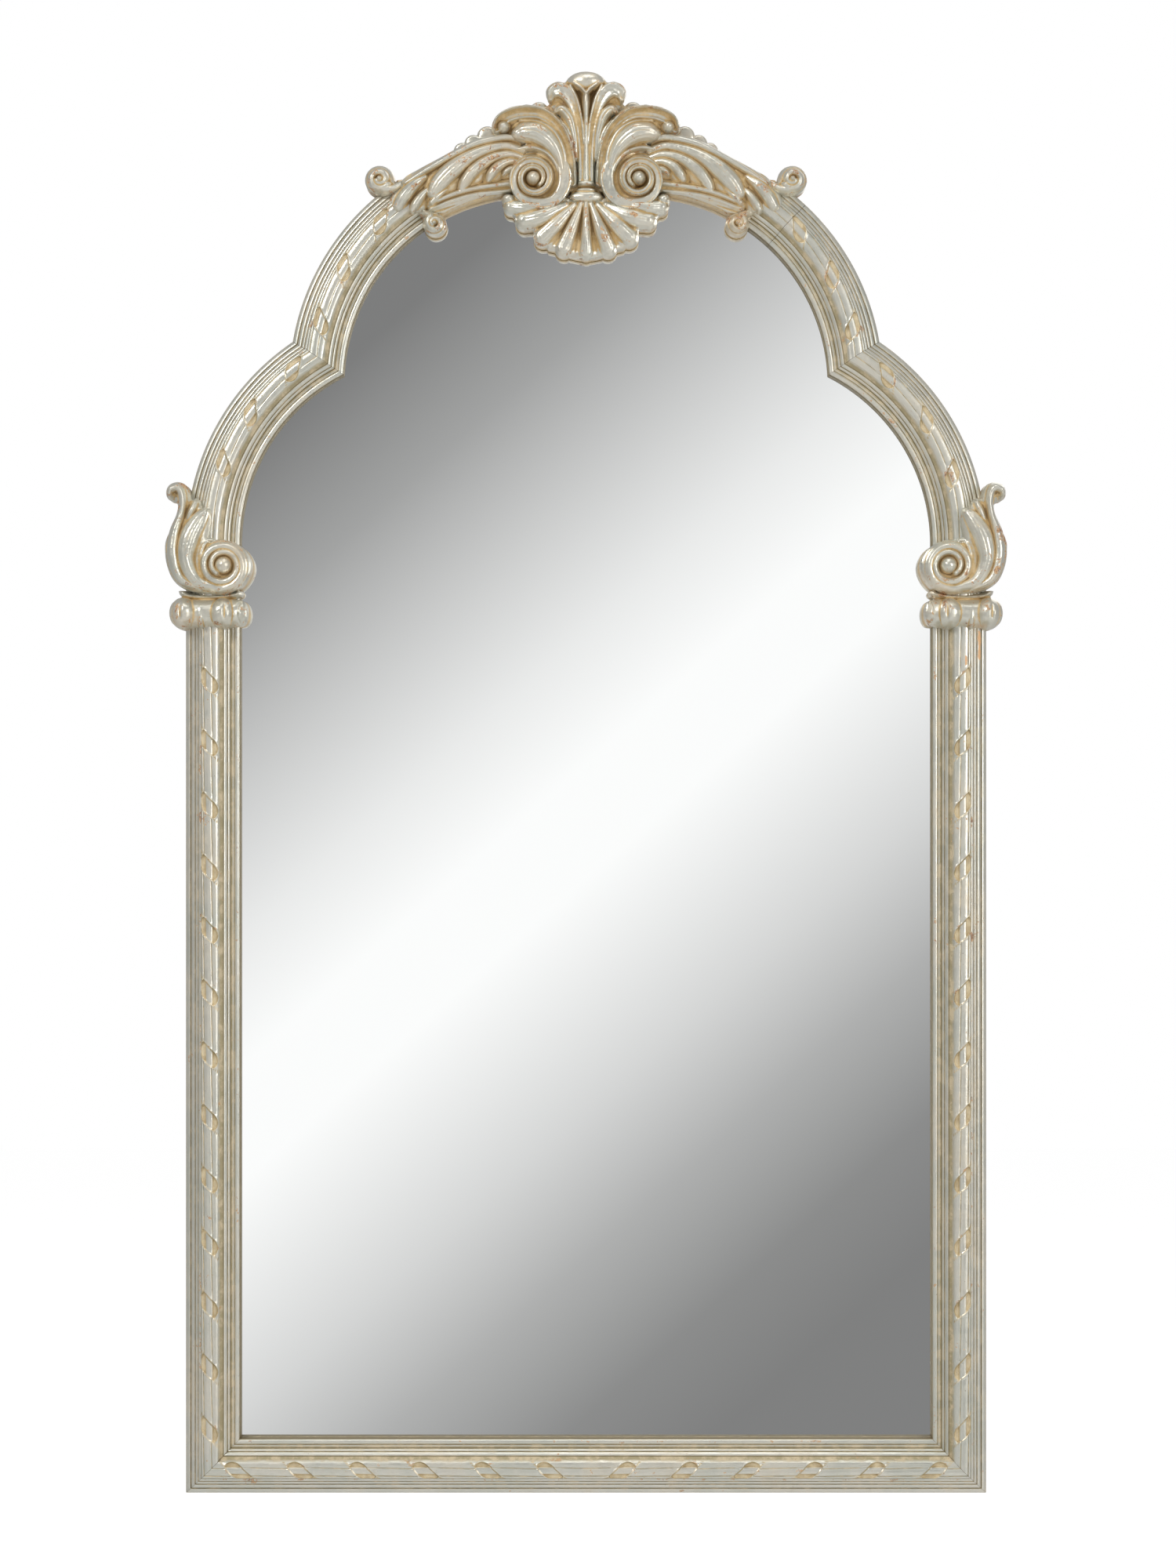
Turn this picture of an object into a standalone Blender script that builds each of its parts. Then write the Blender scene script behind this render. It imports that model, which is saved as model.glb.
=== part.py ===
"""Silvered wood wall mirror: a reeded, double-arched frame with a carved crest.

The wall plane is y = 0, the front faces -Y, X runs to the right and Z is up. The origin is the
middle of the bottom rail's flat back. A height h above the wall plane is the coordinate y = -h.
"""

import math

import bmesh
import bpy
from mathutils import Matrix, Vector

# Driving dimensions of the frame, in metres
BODY_WIDTH = 0.744
MOULDING_WIDTH = 0.050
SPRING_HEIGHT = 0.883
ARCH_RADIUS = 0.176
ARCH_RISE = 0.149
SHOULDER_INSET = 0.096

# The module is the carver's unit: the crest is 2.4 modules high from the foot of the shell,
# and 5.6 modules wide.
MODULE = 0.0727

# The moulding's section: heights above the wall plane, and the widths of its bands
EDGE_HEIGHT = 0.022
TORUS_FOOT_HEIGHT = 0.0335
SIGHT_HEIGHT = 0.0225
OUTER_REED_WIDTHS = (0.0051, 0.0043, 0.0030, 0.0030)
TORUS_FLANK_WIDTH = 0.0050
TORUS_ROD_WIDTH = 0.0062
INNER_REED_WIDTHS = (0.0040, 0.0036, 0.0026)
SIGHT_REED_WIDTH = 0.0052
REED_RISE_SHARE = 0.34
ROD_RISE_SHARE = 0.50

# Rabbets, glass and back board
BOARD_RABBET_WIDTH = 0.016
BOARD_RABBET_DEPTH = 0.0060
BOARD_THICKNESS = 0.0052
BOARD_CLEARANCE = 0.0008
GLASS_RABBET_WIDTH = 0.008
GLASS_THICKNESS = 0.005
GLASS_CLEARANCE = 0.0016
BLOCK_LENGTH = 0.050
BLOCK_WIDTH = 0.0044

# Carved work
CREST_THICKNESS = 0.028
OVERHANG_HEIGHT = 0.0135
SCROLL_FOOT_HEIGHT = 0.008
SCROLL_GROUND_HEIGHT = 0.041
LEAF_GROUND = 0.0035
CRESTING_THICKNESS = 0.018
CRESTING_ROUND = 0.004
SPRAY_MARGIN = 0.0015
SEAM_ANGLE = math.radians(47)
STUB_ANGLE = math.radians(56)
STILE_JOINT_DROP = 0.065

# Joinery
DOWEL_RADIUS = 0.003
DOWEL_LENGTH = 0.028
DOWEL_HEIGHT = 0.017
DOWEL_INSET = 0.025
SCREW_RADIUS = 0.0014
SCREW_HEAD_RADIUS = 0.0028
BOARD_SCREW_LENGTH = 0.013

# Hanging hardware
HANGER_SCREW_LENGTH = 0.016
PAN_HEAD_HEIGHT = 0.0018
STRAP_WIDTH = 0.014
STRAP_THICKNESS = 0.0012
STRAP_LENGTH = 0.048
UPPER_SCREW_DROP = 0.0265
WIRE_RADIUS = 0.00125
RING_HALF_WIDTH = 0.01125
RING_STRAIGHT = 0.0035
RING_CORNER = 0.003
HANGER_DROP = 0.078
BUMPER_RADIUS = 0.006
BUMPER_THICKNESS = 0.005
BUMPER_HEIGHT = 0.048

# Gaps and facets
GLUE_GAP = 0.0003
OVERRUN = 0.002
ARC_STEP = math.radians(9)
SMALL_ARC_STEP = math.radians(18)
ROUND_SIDES = 8
SMALL_ROUND_SIDES = 6

# Worked out from the driving dimensions
BACK_FACE_WIDTH = MOULDING_WIDTH - BOARD_RABBET_WIDTH
BOTTOM_Z = -BACK_FACE_WIDTH / 2
HALF_WIDTH = BODY_WIDTH / 2
SIGHT_HALF_WIDTH = HALF_WIDTH - MOULDING_WIDTH
SIGHT_BOTTOM_Z = BOTTOM_Z + MOULDING_WIDTH
SPRING_CENTRE = Vector((SIGHT_HALF_WIDTH - ARCH_RADIUS, BOTTOM_Z + SPRING_HEIGHT))
ARCH_CENTRE = SPRING_CENTRE + Vector((-SHOULDER_INSET, ARCH_RISE))
SIGHT_TOP_Z = ARCH_CENTRE.y + ARCH_RADIUS
OUTER_RADIUS = ARCH_RADIUS + MOULDING_WIDTH
STILE_JOINT_Z = SPRING_CENTRE.y - STILE_JOINT_DROP
GLASS_RABBET_HEIGHT = BOARD_RABBET_DEPTH + GLASS_THICKNESS + GLUE_GAP
GROUND = CREST_THICKNESS + GLUE_GAP
RISE_LIMIT = CREST_THICKNESS + MODULE
CREST_ANCHOR = Vector((0, SIGHT_TOP_Z))
SHOULDER_ANCHOR = Vector((HALF_WIDTH - MOULDING_WIDTH / 2, SPRING_CENTRE.y))
INTO_FRAME = (0, -1, 0)
OUT_OF_FRAME = (0, 1, 0)

for leftover in list(bpy.data.objects):
    bpy.data.objects.remove(leftover, do_unlink=True)


# Finishes

def finish(name, colour, roughness, metallic):
    made = bpy.data.materials.new(name)
    made.use_nodes = True
    shader = made.node_tree.nodes["Principled BSDF"]
    shader.inputs["Base Color"].default_value = (*colour, 1.0)
    shader.inputs["Roughness"].default_value = roughness
    shader.inputs["Metallic"].default_value = metallic
    return made


SILVERED_WOOD = finish("silvered_wood", (0.66, 0.63, 0.55), 0.38, 0.55)
PLAIN_WOOD = finish("plain_wood", (0.45, 0.31, 0.19), 0.75, 0.0)
PLYWOOD = finish("plywood", (0.58, 0.44, 0.28), 0.8, 0.0)
SILVERED_GLASS = finish("silvered_glass", (0.86, 0.87, 0.87), 0.02, 1.0)
PLATED_STEEL = finish("plated_steel", (0.62, 0.58, 0.50), 0.35, 1.0)
RUBBER = finish("rubber", (0.10, 0.09, 0.08), 0.7, 0.0)


# Shaping tools

def place(name, bm, made_of, origin=(0, 0, 0)):
    """A named object from a bmesh drawn in the frame's axes, with its own origin."""
    bmesh.ops.translate(bm, vec=-Vector(origin), verts=bm.verts)
    mesh = bpy.data.meshes.new(name)
    bm.to_mesh(mesh)
    bm.free()
    mesh.materials.append(made_of)
    mesh.shade_smooth()
    mesh.set_sharp_from_angle(angle=math.radians(35))
    made = bpy.data.objects.new(name, mesh)
    made.location = origin
    bpy.context.scene.collection.objects.link(made)
    return made


def place_pair(name, bm, made_of, origin=(0, 0, 0)):
    """The right-hand piece and its mirror image for the left side."""
    right = place(f"{name}_right", bm, made_of, origin)
    other = bmesh.new()
    other.from_mesh(right.data)
    bmesh.ops.translate(other, vec=origin, verts=other.verts)
    bmesh.ops.scale(other, vec=(-1, 1, 1), verts=other.verts)
    bmesh.ops.reverse_faces(other, faces=other.faces)
    place(f"{name}_left", other, made_of, (-origin[0], origin[1], origin[2]))


def loft(stations, ring=False):
    """A solid through stations of points. A ring runs on into its first station."""
    bm = bmesh.new()
    rows = [[bm.verts.new(point) for point in station] for station in stations]
    pairs = list(zip(rows, rows[1:]))
    if ring:
        pairs.append((rows[-1], rows[0]))
    for near, far in pairs:
        for i in range(len(near)):
            j = (i + 1) % len(near)
            bm.faces.new((near[i], near[j], far[j], far[i]))
    if not ring:
        bm.faces.new(rows[0])
        bm.faces.new(rows[-1])
    bmesh.ops.recalc_face_normals(bm, faces=bm.faces)
    return bm


def plate(outline, low, high):
    """A plate with its outline in X and Z, from height low to height high above the wall plane."""
    return loft([[Vector((x, -h, z)) for x, z in outline] for h in (low, high)])


def turned(profile, start, direction, sides=ROUND_SIDES):
    """A turned solid from pairs of a radius and a distance along the direction."""
    axis = Vector(direction).normalized()
    reference = Vector((1, 0, 0)) if abs(axis.y) > abs(axis.z) + abs(axis.x) else Vector((0, 1, 0))
    across = axis.cross(reference).normalized()
    upright = axis.cross(across)
    stations = []
    for radius, along in profile:
        station = []
        for i in range(sides):
            angle = math.tau * i / sides
            spoke = across * math.cos(angle) + upright * math.sin(angle)
            station.append(Vector(start) + axis * along + spoke * radius)
        stations.append(station)
    return loft(stations)


def peg(middle, direction, radius, length, sides=ROUND_SIDES):
    """A straight round peg or hole about its middle."""
    start = Vector(middle) - Vector(direction).normalized() * length / 2
    return turned([(radius, 0), (radius, length)], start, direction, sides)


def keep_behind(bm, point, normal):
    """Cuts at a plane, keeps the side that its normal points away from, and closes the cut."""
    everything = bm.verts[:] + bm.edges[:] + bm.faces[:]
    bmesh.ops.bisect_plane(bm, geom=everything, plane_co=point, plane_no=normal, clear_outer=True)
    rim = [edge for edge in bm.edges if edge.is_boundary]
    bmesh.ops.edgeloop_fill(bm, edges=rim)
    bmesh.ops.recalc_face_normals(bm, faces=bm.faces)
    return bm


def together(parts):
    """Several bmeshes in one, still as separate shells."""
    bm = bmesh.new()
    for part in parts:
        mesh = bpy.data.meshes.new("shell")
        part.to_mesh(mesh)
        part.free()
        bm.from_mesh(mesh)
        bpy.data.meshes.remove(mesh)
    return bm


def boolean(base, others, operation, solver="EXACT"):
    """The base after one Boolean with the others, which may overlap each other."""
    subject = place("subject", base, PLAIN_WOOD)
    tool = place("tool", together(others), PLAIN_WOOD)
    cut = subject.modifiers.new("cut", "BOOLEAN")
    cut.operation = operation
    cut.solver = solver
    if solver == "EXACT":
        cut.use_self = len(others) > 1
    cut.object = tool
    graph = bpy.context.evaluated_depsgraph_get()
    mesh = bpy.data.meshes.new_from_object(subject.evaluated_get(graph))
    bm = bmesh.new()
    bm.from_mesh(mesh)
    bpy.data.meshes.remove(mesh)
    for used in (subject, tool):
        data = used.data
        bpy.data.objects.remove(used)
        bpy.data.meshes.remove(data)
    return bm


def fused(parts):
    return boolean(parts[0], parts[1:], "UNION")


def without(base, cutters):
    return boolean(base, cutters, "DIFFERENCE")


def within(base, keeper, solver="EXACT"):
    return boolean(base, [keeper], "INTERSECT", solver)


# Drawing in the plane of the wall

def drawn(places_in_shares, anchor):
    """Places drawn in modules from an anchor."""
    return [anchor + Vector((x, z)) * MODULE for x, z in places_in_shares]


def arc(centre, radius, start, end, step=ARC_STEP):
    """Points along an arc, about a facet step apart."""
    steps = max(1, round(abs(end - start) / step))
    angles = [start + (end - start) * i / steps for i in range(steps + 1)]
    return [centre + Vector((math.cos(angle), math.sin(angle))) * radius for angle in angles]


def disc(centre, radius, sides=2 * ROUND_SIDES):
    angles = [math.tau * i / sides for i in range(sides)]
    return [centre + Vector((math.cos(angle), math.sin(angle))) * radius for angle in angles]


def opposite(outline):
    """The same outline on the left side."""
    return [Vector((-p.x, p.y)) for p in outline]


def both_sides(right_half):
    """A closed outline from its right half, drawn from the bottom to the top."""
    return right_half + opposite([p for p in reversed(right_half) if p.x > 0])


def grown(outline, distance):
    """An outline moved outward, each corner along its mitre."""
    signed = sum(a.cross(b) for a, b in zip(outline, outline[1:] + outline[:1]))
    turn = math.copysign(1, signed)
    moved = []
    for i, here in enumerate(outline):
        arriving = (here - outline[i - 1]).normalized()
        leaving = (outline[(i + 1) % len(outline)] - here).normalized()
        first = Vector((arriving.y, -arriving.x)) * turn
        second = Vector((leaving.y, -leaving.x)) * turn
        mitre = (first + second).normalized()
        moved.append(here + mitre * distance / max(mitre.dot(first), 0.5))
    return moved


def curve_through(points, steps):
    """A smooth curve through the points, which may be vectors of any size."""
    line = [points[0] * 2 - points[1], *points, points[-1] * 2 - points[-2]]
    curve = []
    for before, here, there, after in zip(line, line[1:], line[2:], line[3:]):
        for i in range(steps):
            t = i / steps
            slope = (there - before) * t
            bend = (before * 2 - here * 5 + there * 4 - after) * t**2
            twist = (here * 3 - before - there * 3 + after) * t**3
            curve.append((here * 2 + slope + bend + twist) / 2)
    return curve + [points[-1]]


# The arch line

def cusp(radius):
    """Where the lower and the upper arc of this radius meet, on the right side."""
    half = (ARCH_CENTRE - SPRING_CENTRE) / 2
    across = Vector((half.y, -half.x)).normalized()
    return SPRING_CENTRE + half + across * math.sqrt(radius**2 - half.length_squared)


def angle_about(point, centre):
    return math.atan2(point.y - centre.y, point.x - centre.x)


def arch_line(offset):
    """The right half of the sight line moved outward, from the bottom corner to the top."""
    radius = ARCH_RADIUS + offset
    corner = cusp(radius)
    lower = arc(SPRING_CENTRE, radius, 0, angle_about(corner, SPRING_CENTRE))
    upper = arc(ARCH_CENTRE, radius, angle_about(corner, ARCH_CENTRE), math.pi / 2)
    foot = Vector((SIGHT_HALF_WIDTH + offset, SIGHT_BOTTOM_Z - offset))
    return [foot] + lower + upper[1:]


def opening_outline(offset):
    """The whole sight line moved outward."""
    return both_sides(arch_line(offset))


def on_arch(offset, angle):
    """A place on the right upper arc, moved outward from the sight line."""
    return arc(ARCH_CENTRE, ARCH_RADIUS + offset, angle, angle)[0]


# The moulding's section, as pairs of the distance from the outer edge and the height

def reeds(start, widths, foot_start, foot_end, rise_share):
    """A row of round reeds whose valleys run straight from one foot height to the other."""
    points = []
    u = start
    for width in widths:
        for share in (0.0, 0.5):
            along = (u - start + width * share) / sum(widths)
            foot = foot_start + (foot_end - foot_start) * along
            rise = width * rise_share * math.sqrt(math.sin(math.pi * share))
            points.append((u + width * share, foot + rise))
        u += width
    return points


TORUS_START = sum(OUTER_REED_WIDTHS)
TORUS_WIDTHS = (TORUS_FLANK_WIDTH, TORUS_ROD_WIDTH, TORUS_FLANK_WIDTH)
TORUS_END = TORUS_START + sum(TORUS_WIDTHS)
TORUS_CROWN = TORUS_FOOT_HEIGHT + TORUS_ROD_WIDTH * ROD_RISE_SHARE
GROOVE_START = TORUS_END + sum(INNER_REED_WIDTHS)
GROOVE_HEIGHT = SIGHT_HEIGHT + SIGHT_REED_WIDTH * REED_RISE_SHARE
SIGHT_REED_START = MOULDING_WIDTH - SIGHT_REED_WIDTH
FACE = [
    *reeds(0, OUTER_REED_WIDTHS, EDGE_HEIGHT, TORUS_FOOT_HEIGHT, REED_RISE_SHARE),
    *reeds(TORUS_START, TORUS_WIDTHS, TORUS_FOOT_HEIGHT, TORUS_FOOT_HEIGHT, ROD_RISE_SHARE),
    *reeds(TORUS_END, INNER_REED_WIDTHS, TORUS_FOOT_HEIGHT, GROOVE_HEIGHT, REED_RISE_SHARE),
    (GROOVE_START, GROOVE_HEIGHT),
    *reeds(SIGHT_REED_START, (SIGHT_REED_WIDTH,), SIGHT_HEIGHT, SIGHT_HEIGHT, ROD_RISE_SHARE),
    (MOULDING_WIDTH, SIGHT_HEIGHT),
]
MOULDING_SECTION = [
    (0, 0),
    *FACE,
    (MOULDING_WIDTH, GLASS_RABBET_HEIGHT),
    (MOULDING_WIDTH - GLASS_RABBET_WIDTH, GLASS_RABBET_HEIGHT),
    (MOULDING_WIDTH - GLASS_RABBET_WIDTH, BOARD_RABBET_DEPTH),
    (BACK_FACE_WIDTH, BOARD_RABBET_DEPTH),
    (BACK_FACE_WIDTH, 0),
]
SOLID_SECTION = [(0, 0), *FACE, (MOULDING_WIDTH, 0)]


def on_stile(section, z):
    return [Vector((HALF_WIDTH - u, -h, z)) for u, h in section]


def on_rail(section, x):
    return [Vector((x, -h, BOTTOM_Z + u)) for u, h in section]


def along_arc(section, centre, start, end):
    """Stations of a section set square to an arc, its outer edge at the outer radius."""
    steps = max(1, round(abs(end - start) / ARC_STEP))
    stations = []
    for i in range(steps + 1):
        angle = start + (end - start) * i / steps
        spoke = Vector((math.cos(angle), math.sin(angle)))
        places = [(centre + spoke * (OUTER_RADIUS - u), h) for u, h in section]
        stations.append([Vector((p.x, -h, p.y)) for p, h in places])
    return stations


# Joints of the frame: a point on each, and the direction square across it

def mirrored(point):
    return Vector((-point.x, point.y, point.z))


def opposite_joint(joint):
    return mirrored(joint[0]), mirrored(joint[1])


def joint_in_wall_plane(middle, across):
    return Vector((middle.x, -DOWEL_HEIGHT, middle.y)), Vector((across.x, 0, across.y)).normalized()


CORNER_JOINT = joint_in_wall_plane(
    Vector((HALF_WIDTH - DOWEL_INSET, BOTTOM_Z + DOWEL_INSET)), Vector((1, 1))
)
STILE_JOINT = joint_in_wall_plane(
    Vector((HALF_WIDTH - DOWEL_INSET, STILE_JOINT_Z)), Vector((0, 1))
)
CUSP_JOINT = joint_in_wall_plane(cusp(OUTER_RADIUS - DOWEL_INSET), ARCH_CENTRE - SPRING_CENTRE)
SEAM_JOINT = joint_in_wall_plane(
    on_arch(MOULDING_WIDTH - DOWEL_INSET, SEAM_ANGLE),
    Vector((-math.sin(SEAM_ANGLE), math.cos(SEAM_ANGLE))),
)


def cut_at(bm, joint, side):
    """Cuts a piece at a joint. Side 1 is the piece before it, and -1 the piece after it."""
    point, normal = joint
    return keep_behind(bm, point - normal * side * GLUE_GAP / 2, normal * side)


def dowel(joint):
    point, normal = joint
    return peg(point, normal, DOWEL_RADIUS, DOWEL_LENGTH)


def dowel_hole(joint):
    point, normal = joint
    return peg(point, normal, DOWEL_RADIUS + GLUE_GAP, DOWEL_LENGTH + 2 * GLUE_GAP)


# Screws that hold the back board, in the ledge between its rabbet and the glass rabbet

LEDGE_OFFSET = (BOARD_RABBET_WIDTH + GLASS_RABBET_WIDTH) / 2
RAIL_SCREW_SHARE = 0.62
STILE_SCREW_SHARES = (0.22, 0.72)
LOWER_ARCH_SCREW_ANGLE = math.radians(32)
UPPER_ARCH_SCREW_ANGLE = math.radians(24)
BOARD_SCREW_SINK = 2 * GLUE_GAP


def on_ledge(centre, angle):
    spot = arc(centre, ARCH_RADIUS + LEDGE_OFFSET, angle, angle)[0]
    return Vector((spot.x, -BOARD_SCREW_SINK, spot.y))


def stile_screw(share):
    z = SIGHT_BOTTOM_Z + (SPRING_CENTRE.y - SIGHT_BOTTOM_Z) * share
    return Vector((SIGHT_HALF_WIDTH + LEDGE_OFFSET, -BOARD_SCREW_SINK, z))


CREST_SCREW = Vector((0, -BOARD_SCREW_SINK, SIGHT_TOP_Z + LEDGE_OFFSET))
BOARD_SCREWS = {
    "rail": Vector(
        (SIGHT_HALF_WIDTH * RAIL_SCREW_SHARE, -BOARD_SCREW_SINK, SIGHT_BOTTOM_Z - LEDGE_OFFSET)
    ),
    "low_stile": stile_screw(STILE_SCREW_SHARES[0]),
    "high_stile": stile_screw(STILE_SCREW_SHARES[1]),
    "lower_arch": on_ledge(SPRING_CENTRE, LOWER_ARCH_SCREW_ANGLE),
    "upper_arch": on_ledge(ARCH_CENTRE, UPPER_ARCH_SCREW_ANGLE),
}


def board_screw(head):
    """A countersunk screw that starts at the flat of its head."""
    cone = SCREW_HEAD_RADIUS - SCREW_RADIUS
    profile = [
        (SCREW_HEAD_RADIUS, 0),
        (SCREW_RADIUS, cone),
        (SCREW_RADIUS, BOARD_SCREW_LENGTH - 2 * SCREW_RADIUS),
        (SCREW_RADIUS / 2, BOARD_SCREW_LENGTH),
    ]
    return turned(profile, head, INTO_FRAME, SMALL_ROUND_SIDES)


def board_screw_hole(head):
    cone = SCREW_HEAD_RADIUS - SCREW_RADIUS
    profile = [
        (SCREW_HEAD_RADIUS + GLUE_GAP, 0),
        (SCREW_HEAD_RADIUS + GLUE_GAP, OVERRUN),
        (SCREW_RADIUS + GLUE_GAP, OVERRUN + cone),
        (SCREW_RADIUS + GLUE_GAP, OVERRUN + BOARD_SCREW_LENGTH + GLUE_GAP),
    ]
    mouth = head + Vector(OUT_OF_FRAME) * OVERRUN
    return turned(profile, mouth, INTO_FRAME, SMALL_ROUND_SIDES)


# Strap hangers: the strap is folded into a loop that the ring hangs in

LOOP_BORE = WIRE_RADIUS + GLUE_GAP
LOOP_RADIUS = LOOP_BORE + STRAP_THICKNESS
STRAP_FRONT = GLUE_GAP + STRAP_THICKNESS
LOOP_Y = GLUE_GAP + LOOP_RADIUS
LOOP_FOLD = math.radians(285)
HANGER_X = HALF_WIDTH - BACK_FACE_WIDTH / 2
HANGER_Z = STILE_JOINT_Z - HANGER_DROP
HANGER_HINGE = Vector((HANGER_X, LOOP_Y, HANGER_Z))
HANGER_SCREW_DROPS = (UPPER_SCREW_DROP, STRAP_LENGTH - STRAP_WIDTH / 2)


def hanger_strap():
    """The folded strap drawn from its side, then rounded at the foot and bored for two screws."""
    loop = Vector((LOOP_Y, HANGER_Z))
    outer = arc(loop, LOOP_RADIUS, math.pi, math.pi - LOOP_FOLD, SMALL_ARC_STEP)
    inner = arc(loop, LOOP_BORE, math.pi - LOOP_FOLD, math.pi, SMALL_ARC_STEP)
    foot_z = HANGER_Z - STRAP_LENGTH
    side = [Vector((GLUE_GAP, foot_z)), *outer, *inner, Vector((STRAP_FRONT, foot_z))]
    half = STRAP_WIDTH / 2
    bm = loft([[Vector((HANGER_X + x, y, z)) for y, z in side] for x in (-half, half)])
    foot = Vector((HANGER_X, foot_z + half))
    top = Vector((0, STRAP_LENGTH + LOOP_RADIUS))
    wide = Vector((half + OVERRUN, 0))
    blank = [foot + wide + top, foot - wide + top, foot - wide]
    blank += [*arc(foot, half, math.pi, math.tau, SMALL_ARC_STEP), foot + wide]
    bm = within(bm, plate(blank, -LOOP_Y - LOOP_RADIUS - OVERRUN, OVERRUN))
    holes = []
    for drop in HANGER_SCREW_DROPS:
        middle = Vector((HANGER_X, STRAP_FRONT, HANGER_Z - drop))
        bore = SCREW_RADIUS + GLUE_GAP
        holes.append(peg(middle, INTO_FRAME, bore, 2 * LOOP_Y, SMALL_ROUND_SIDES))
    return without(bm, holes)


def ring_line():
    """The middle line of the D-ring, hanging down from its hinge."""
    side = RING_HALF_WIDTH - RING_CORNER
    right = HANGER_HINGE.xz + Vector((side, -RING_CORNER))
    left = HANGER_HINGE.xz + Vector((-side, -RING_CORNER))
    bow = HANGER_HINGE.xz - Vector((0, RING_CORNER + RING_STRAIGHT))
    return [
        *arc(right, RING_CORNER, math.pi / 2, 0, 2 * SMALL_ARC_STEP),
        *arc(bow, RING_HALF_WIDTH, 0, -math.pi, SMALL_ARC_STEP),
        *arc(left, RING_CORNER, math.pi, math.pi / 2, 2 * SMALL_ARC_STEP),
    ]


def hanger_ring():
    line = [Vector((p.x, LOOP_Y, p.y)) for p in ring_line()]
    outward = Vector(OUT_OF_FRAME)
    stations = []
    for i, here in enumerate(line):
        along = (line[(i + 1) % len(line)] - line[i - 1]).normalized()
        across = along.cross(outward)
        station = []
        for j in range(SMALL_ROUND_SIDES):
            angle = math.tau * j / SMALL_ROUND_SIDES
            spoke = across * math.cos(angle) + outward * math.sin(angle)
            station.append(here + spoke * WIRE_RADIUS)
        stations.append(station)
    return loft(stations, ring=True)


def hanger_screw(drop):
    """A pan-headed screw through the strap into the stile."""
    back = STRAP_FRONT + GLUE_GAP + PAN_HEAD_HEIGHT
    profile = [
        (SCREW_HEAD_RADIUS - SCREW_RADIUS / 2, 0),
        (SCREW_HEAD_RADIUS, PAN_HEAD_HEIGHT / 2),
        (SCREW_HEAD_RADIUS, PAN_HEAD_HEIGHT),
        (SCREW_RADIUS, PAN_HEAD_HEIGHT),
        (SCREW_RADIUS, HANGER_SCREW_LENGTH - 2 * SCREW_RADIUS),
        (SCREW_RADIUS / 2, HANGER_SCREW_LENGTH),
    ]
    return turned(profile, (HANGER_X, back, HANGER_Z - drop), INTO_FRAME, SMALL_ROUND_SIDES)


def hanger_screw_hole(drop):
    middle = (HANGER_X, 0, HANGER_Z - drop)
    bore = SCREW_RADIUS + GLUE_GAP
    return peg(middle, INTO_FRAME, bore, 2 * HANGER_SCREW_LENGTH, SMALL_ROUND_SIDES)


# Frame pieces

def bottom_rail():
    reach = HALF_WIDTH + OVERRUN
    bm = loft([on_rail(MOULDING_SECTION, -reach), on_rail(MOULDING_SECTION, reach)])
    holes = []
    for joint in (CORNER_JOINT, opposite_joint(CORNER_JOINT)):
        bm = cut_at(bm, joint, 1)
        holes.append(dowel_hole(joint))
    for head in (BOARD_SCREWS["rail"], mirrored(BOARD_SCREWS["rail"])):
        holes.append(board_screw_hole(head))
    return without(bm, holes)


def stile():
    low = on_stile(MOULDING_SECTION, BOTTOM_Z - OVERRUN)
    high = on_stile(MOULDING_SECTION, STILE_JOINT_Z - GLUE_GAP / 2)
    bm = cut_at(loft([low, high]), CORNER_JOINT, -1)
    holes = [dowel_hole(CORNER_JOINT), dowel_hole(STILE_JOINT)]
    holes += [board_screw_hole(BOARD_SCREWS[name]) for name in ("low_stile", "high_stile")]
    holes += [hanger_screw_hole(drop) for drop in HANGER_SCREW_DROPS]
    return without(bm, holes)


def lower_arch():
    reach = angle_about(cusp(ARCH_RADIUS), SPRING_CENTRE) + ARC_STEP
    stations = [on_stile(MOULDING_SECTION, STILE_JOINT_Z + GLUE_GAP / 2)]
    stations += along_arc(MOULDING_SECTION, SPRING_CENTRE, 0, reach)
    bm = cut_at(loft(stations), CUSP_JOINT, 1)
    holes = [dowel_hole(STILE_JOINT), dowel_hole(CUSP_JOINT)]
    holes.append(board_screw_hole(BOARD_SCREWS["lower_arch"]))
    return without(bm, holes)


def upper_arch():
    reach = angle_about(cusp(ARCH_RADIUS), ARCH_CENTRE) - 2 * ARC_STEP
    bm = loft(along_arc(MOULDING_SECTION, ARCH_CENTRE, reach, SEAM_ANGLE + ARC_STEP))
    bm = cut_at(cut_at(bm, CUSP_JOINT, -1), SEAM_JOINT, 1)
    holes = [dowel_hole(CUSP_JOINT), dowel_hole(SEAM_JOINT)]
    holes.append(board_screw_hole(BOARD_SCREWS["upper_arch"]))
    return without(bm, holes)


# The crest board, drawn in modules from the top of the sight line

BOARD_TOP_SHARES = (
    (2.30, 0.22),
    (2.10, 0.32),
    (1.90, 0.42),
    (1.71, 0.52),
    (1.55, 0.58),
    (1.38, 0.66),
    (1.18, 0.76),
    (1.00, 0.90),
    (0.82, 1.00),
    (0.62, 1.07),
    (0.47, 1.12),
    (0.45, 1.28),
    (0.36, 1.35),
    (0.24, 1.38),
    (0.12, 1.48),
    (0.00, 1.50),
)


STUB_ANGLES = (SEAM_ANGLE - ARC_STEP, STUB_ANGLE + ARC_STEP / 4)


def board_plan():
    """The outline of the crest board between its two stubs of moulding."""
    edge = arc(ARCH_CENTRE, ARCH_RADIUS, math.pi / 2, STUB_ANGLE)
    half = [CREST_ANCHOR, *edge, on_arch(MOULDING_WIDTH, STUB_ANGLE)]
    return both_sides(half + drawn(BOARD_TOP_SHARES, CREST_ANCHOR))


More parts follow.
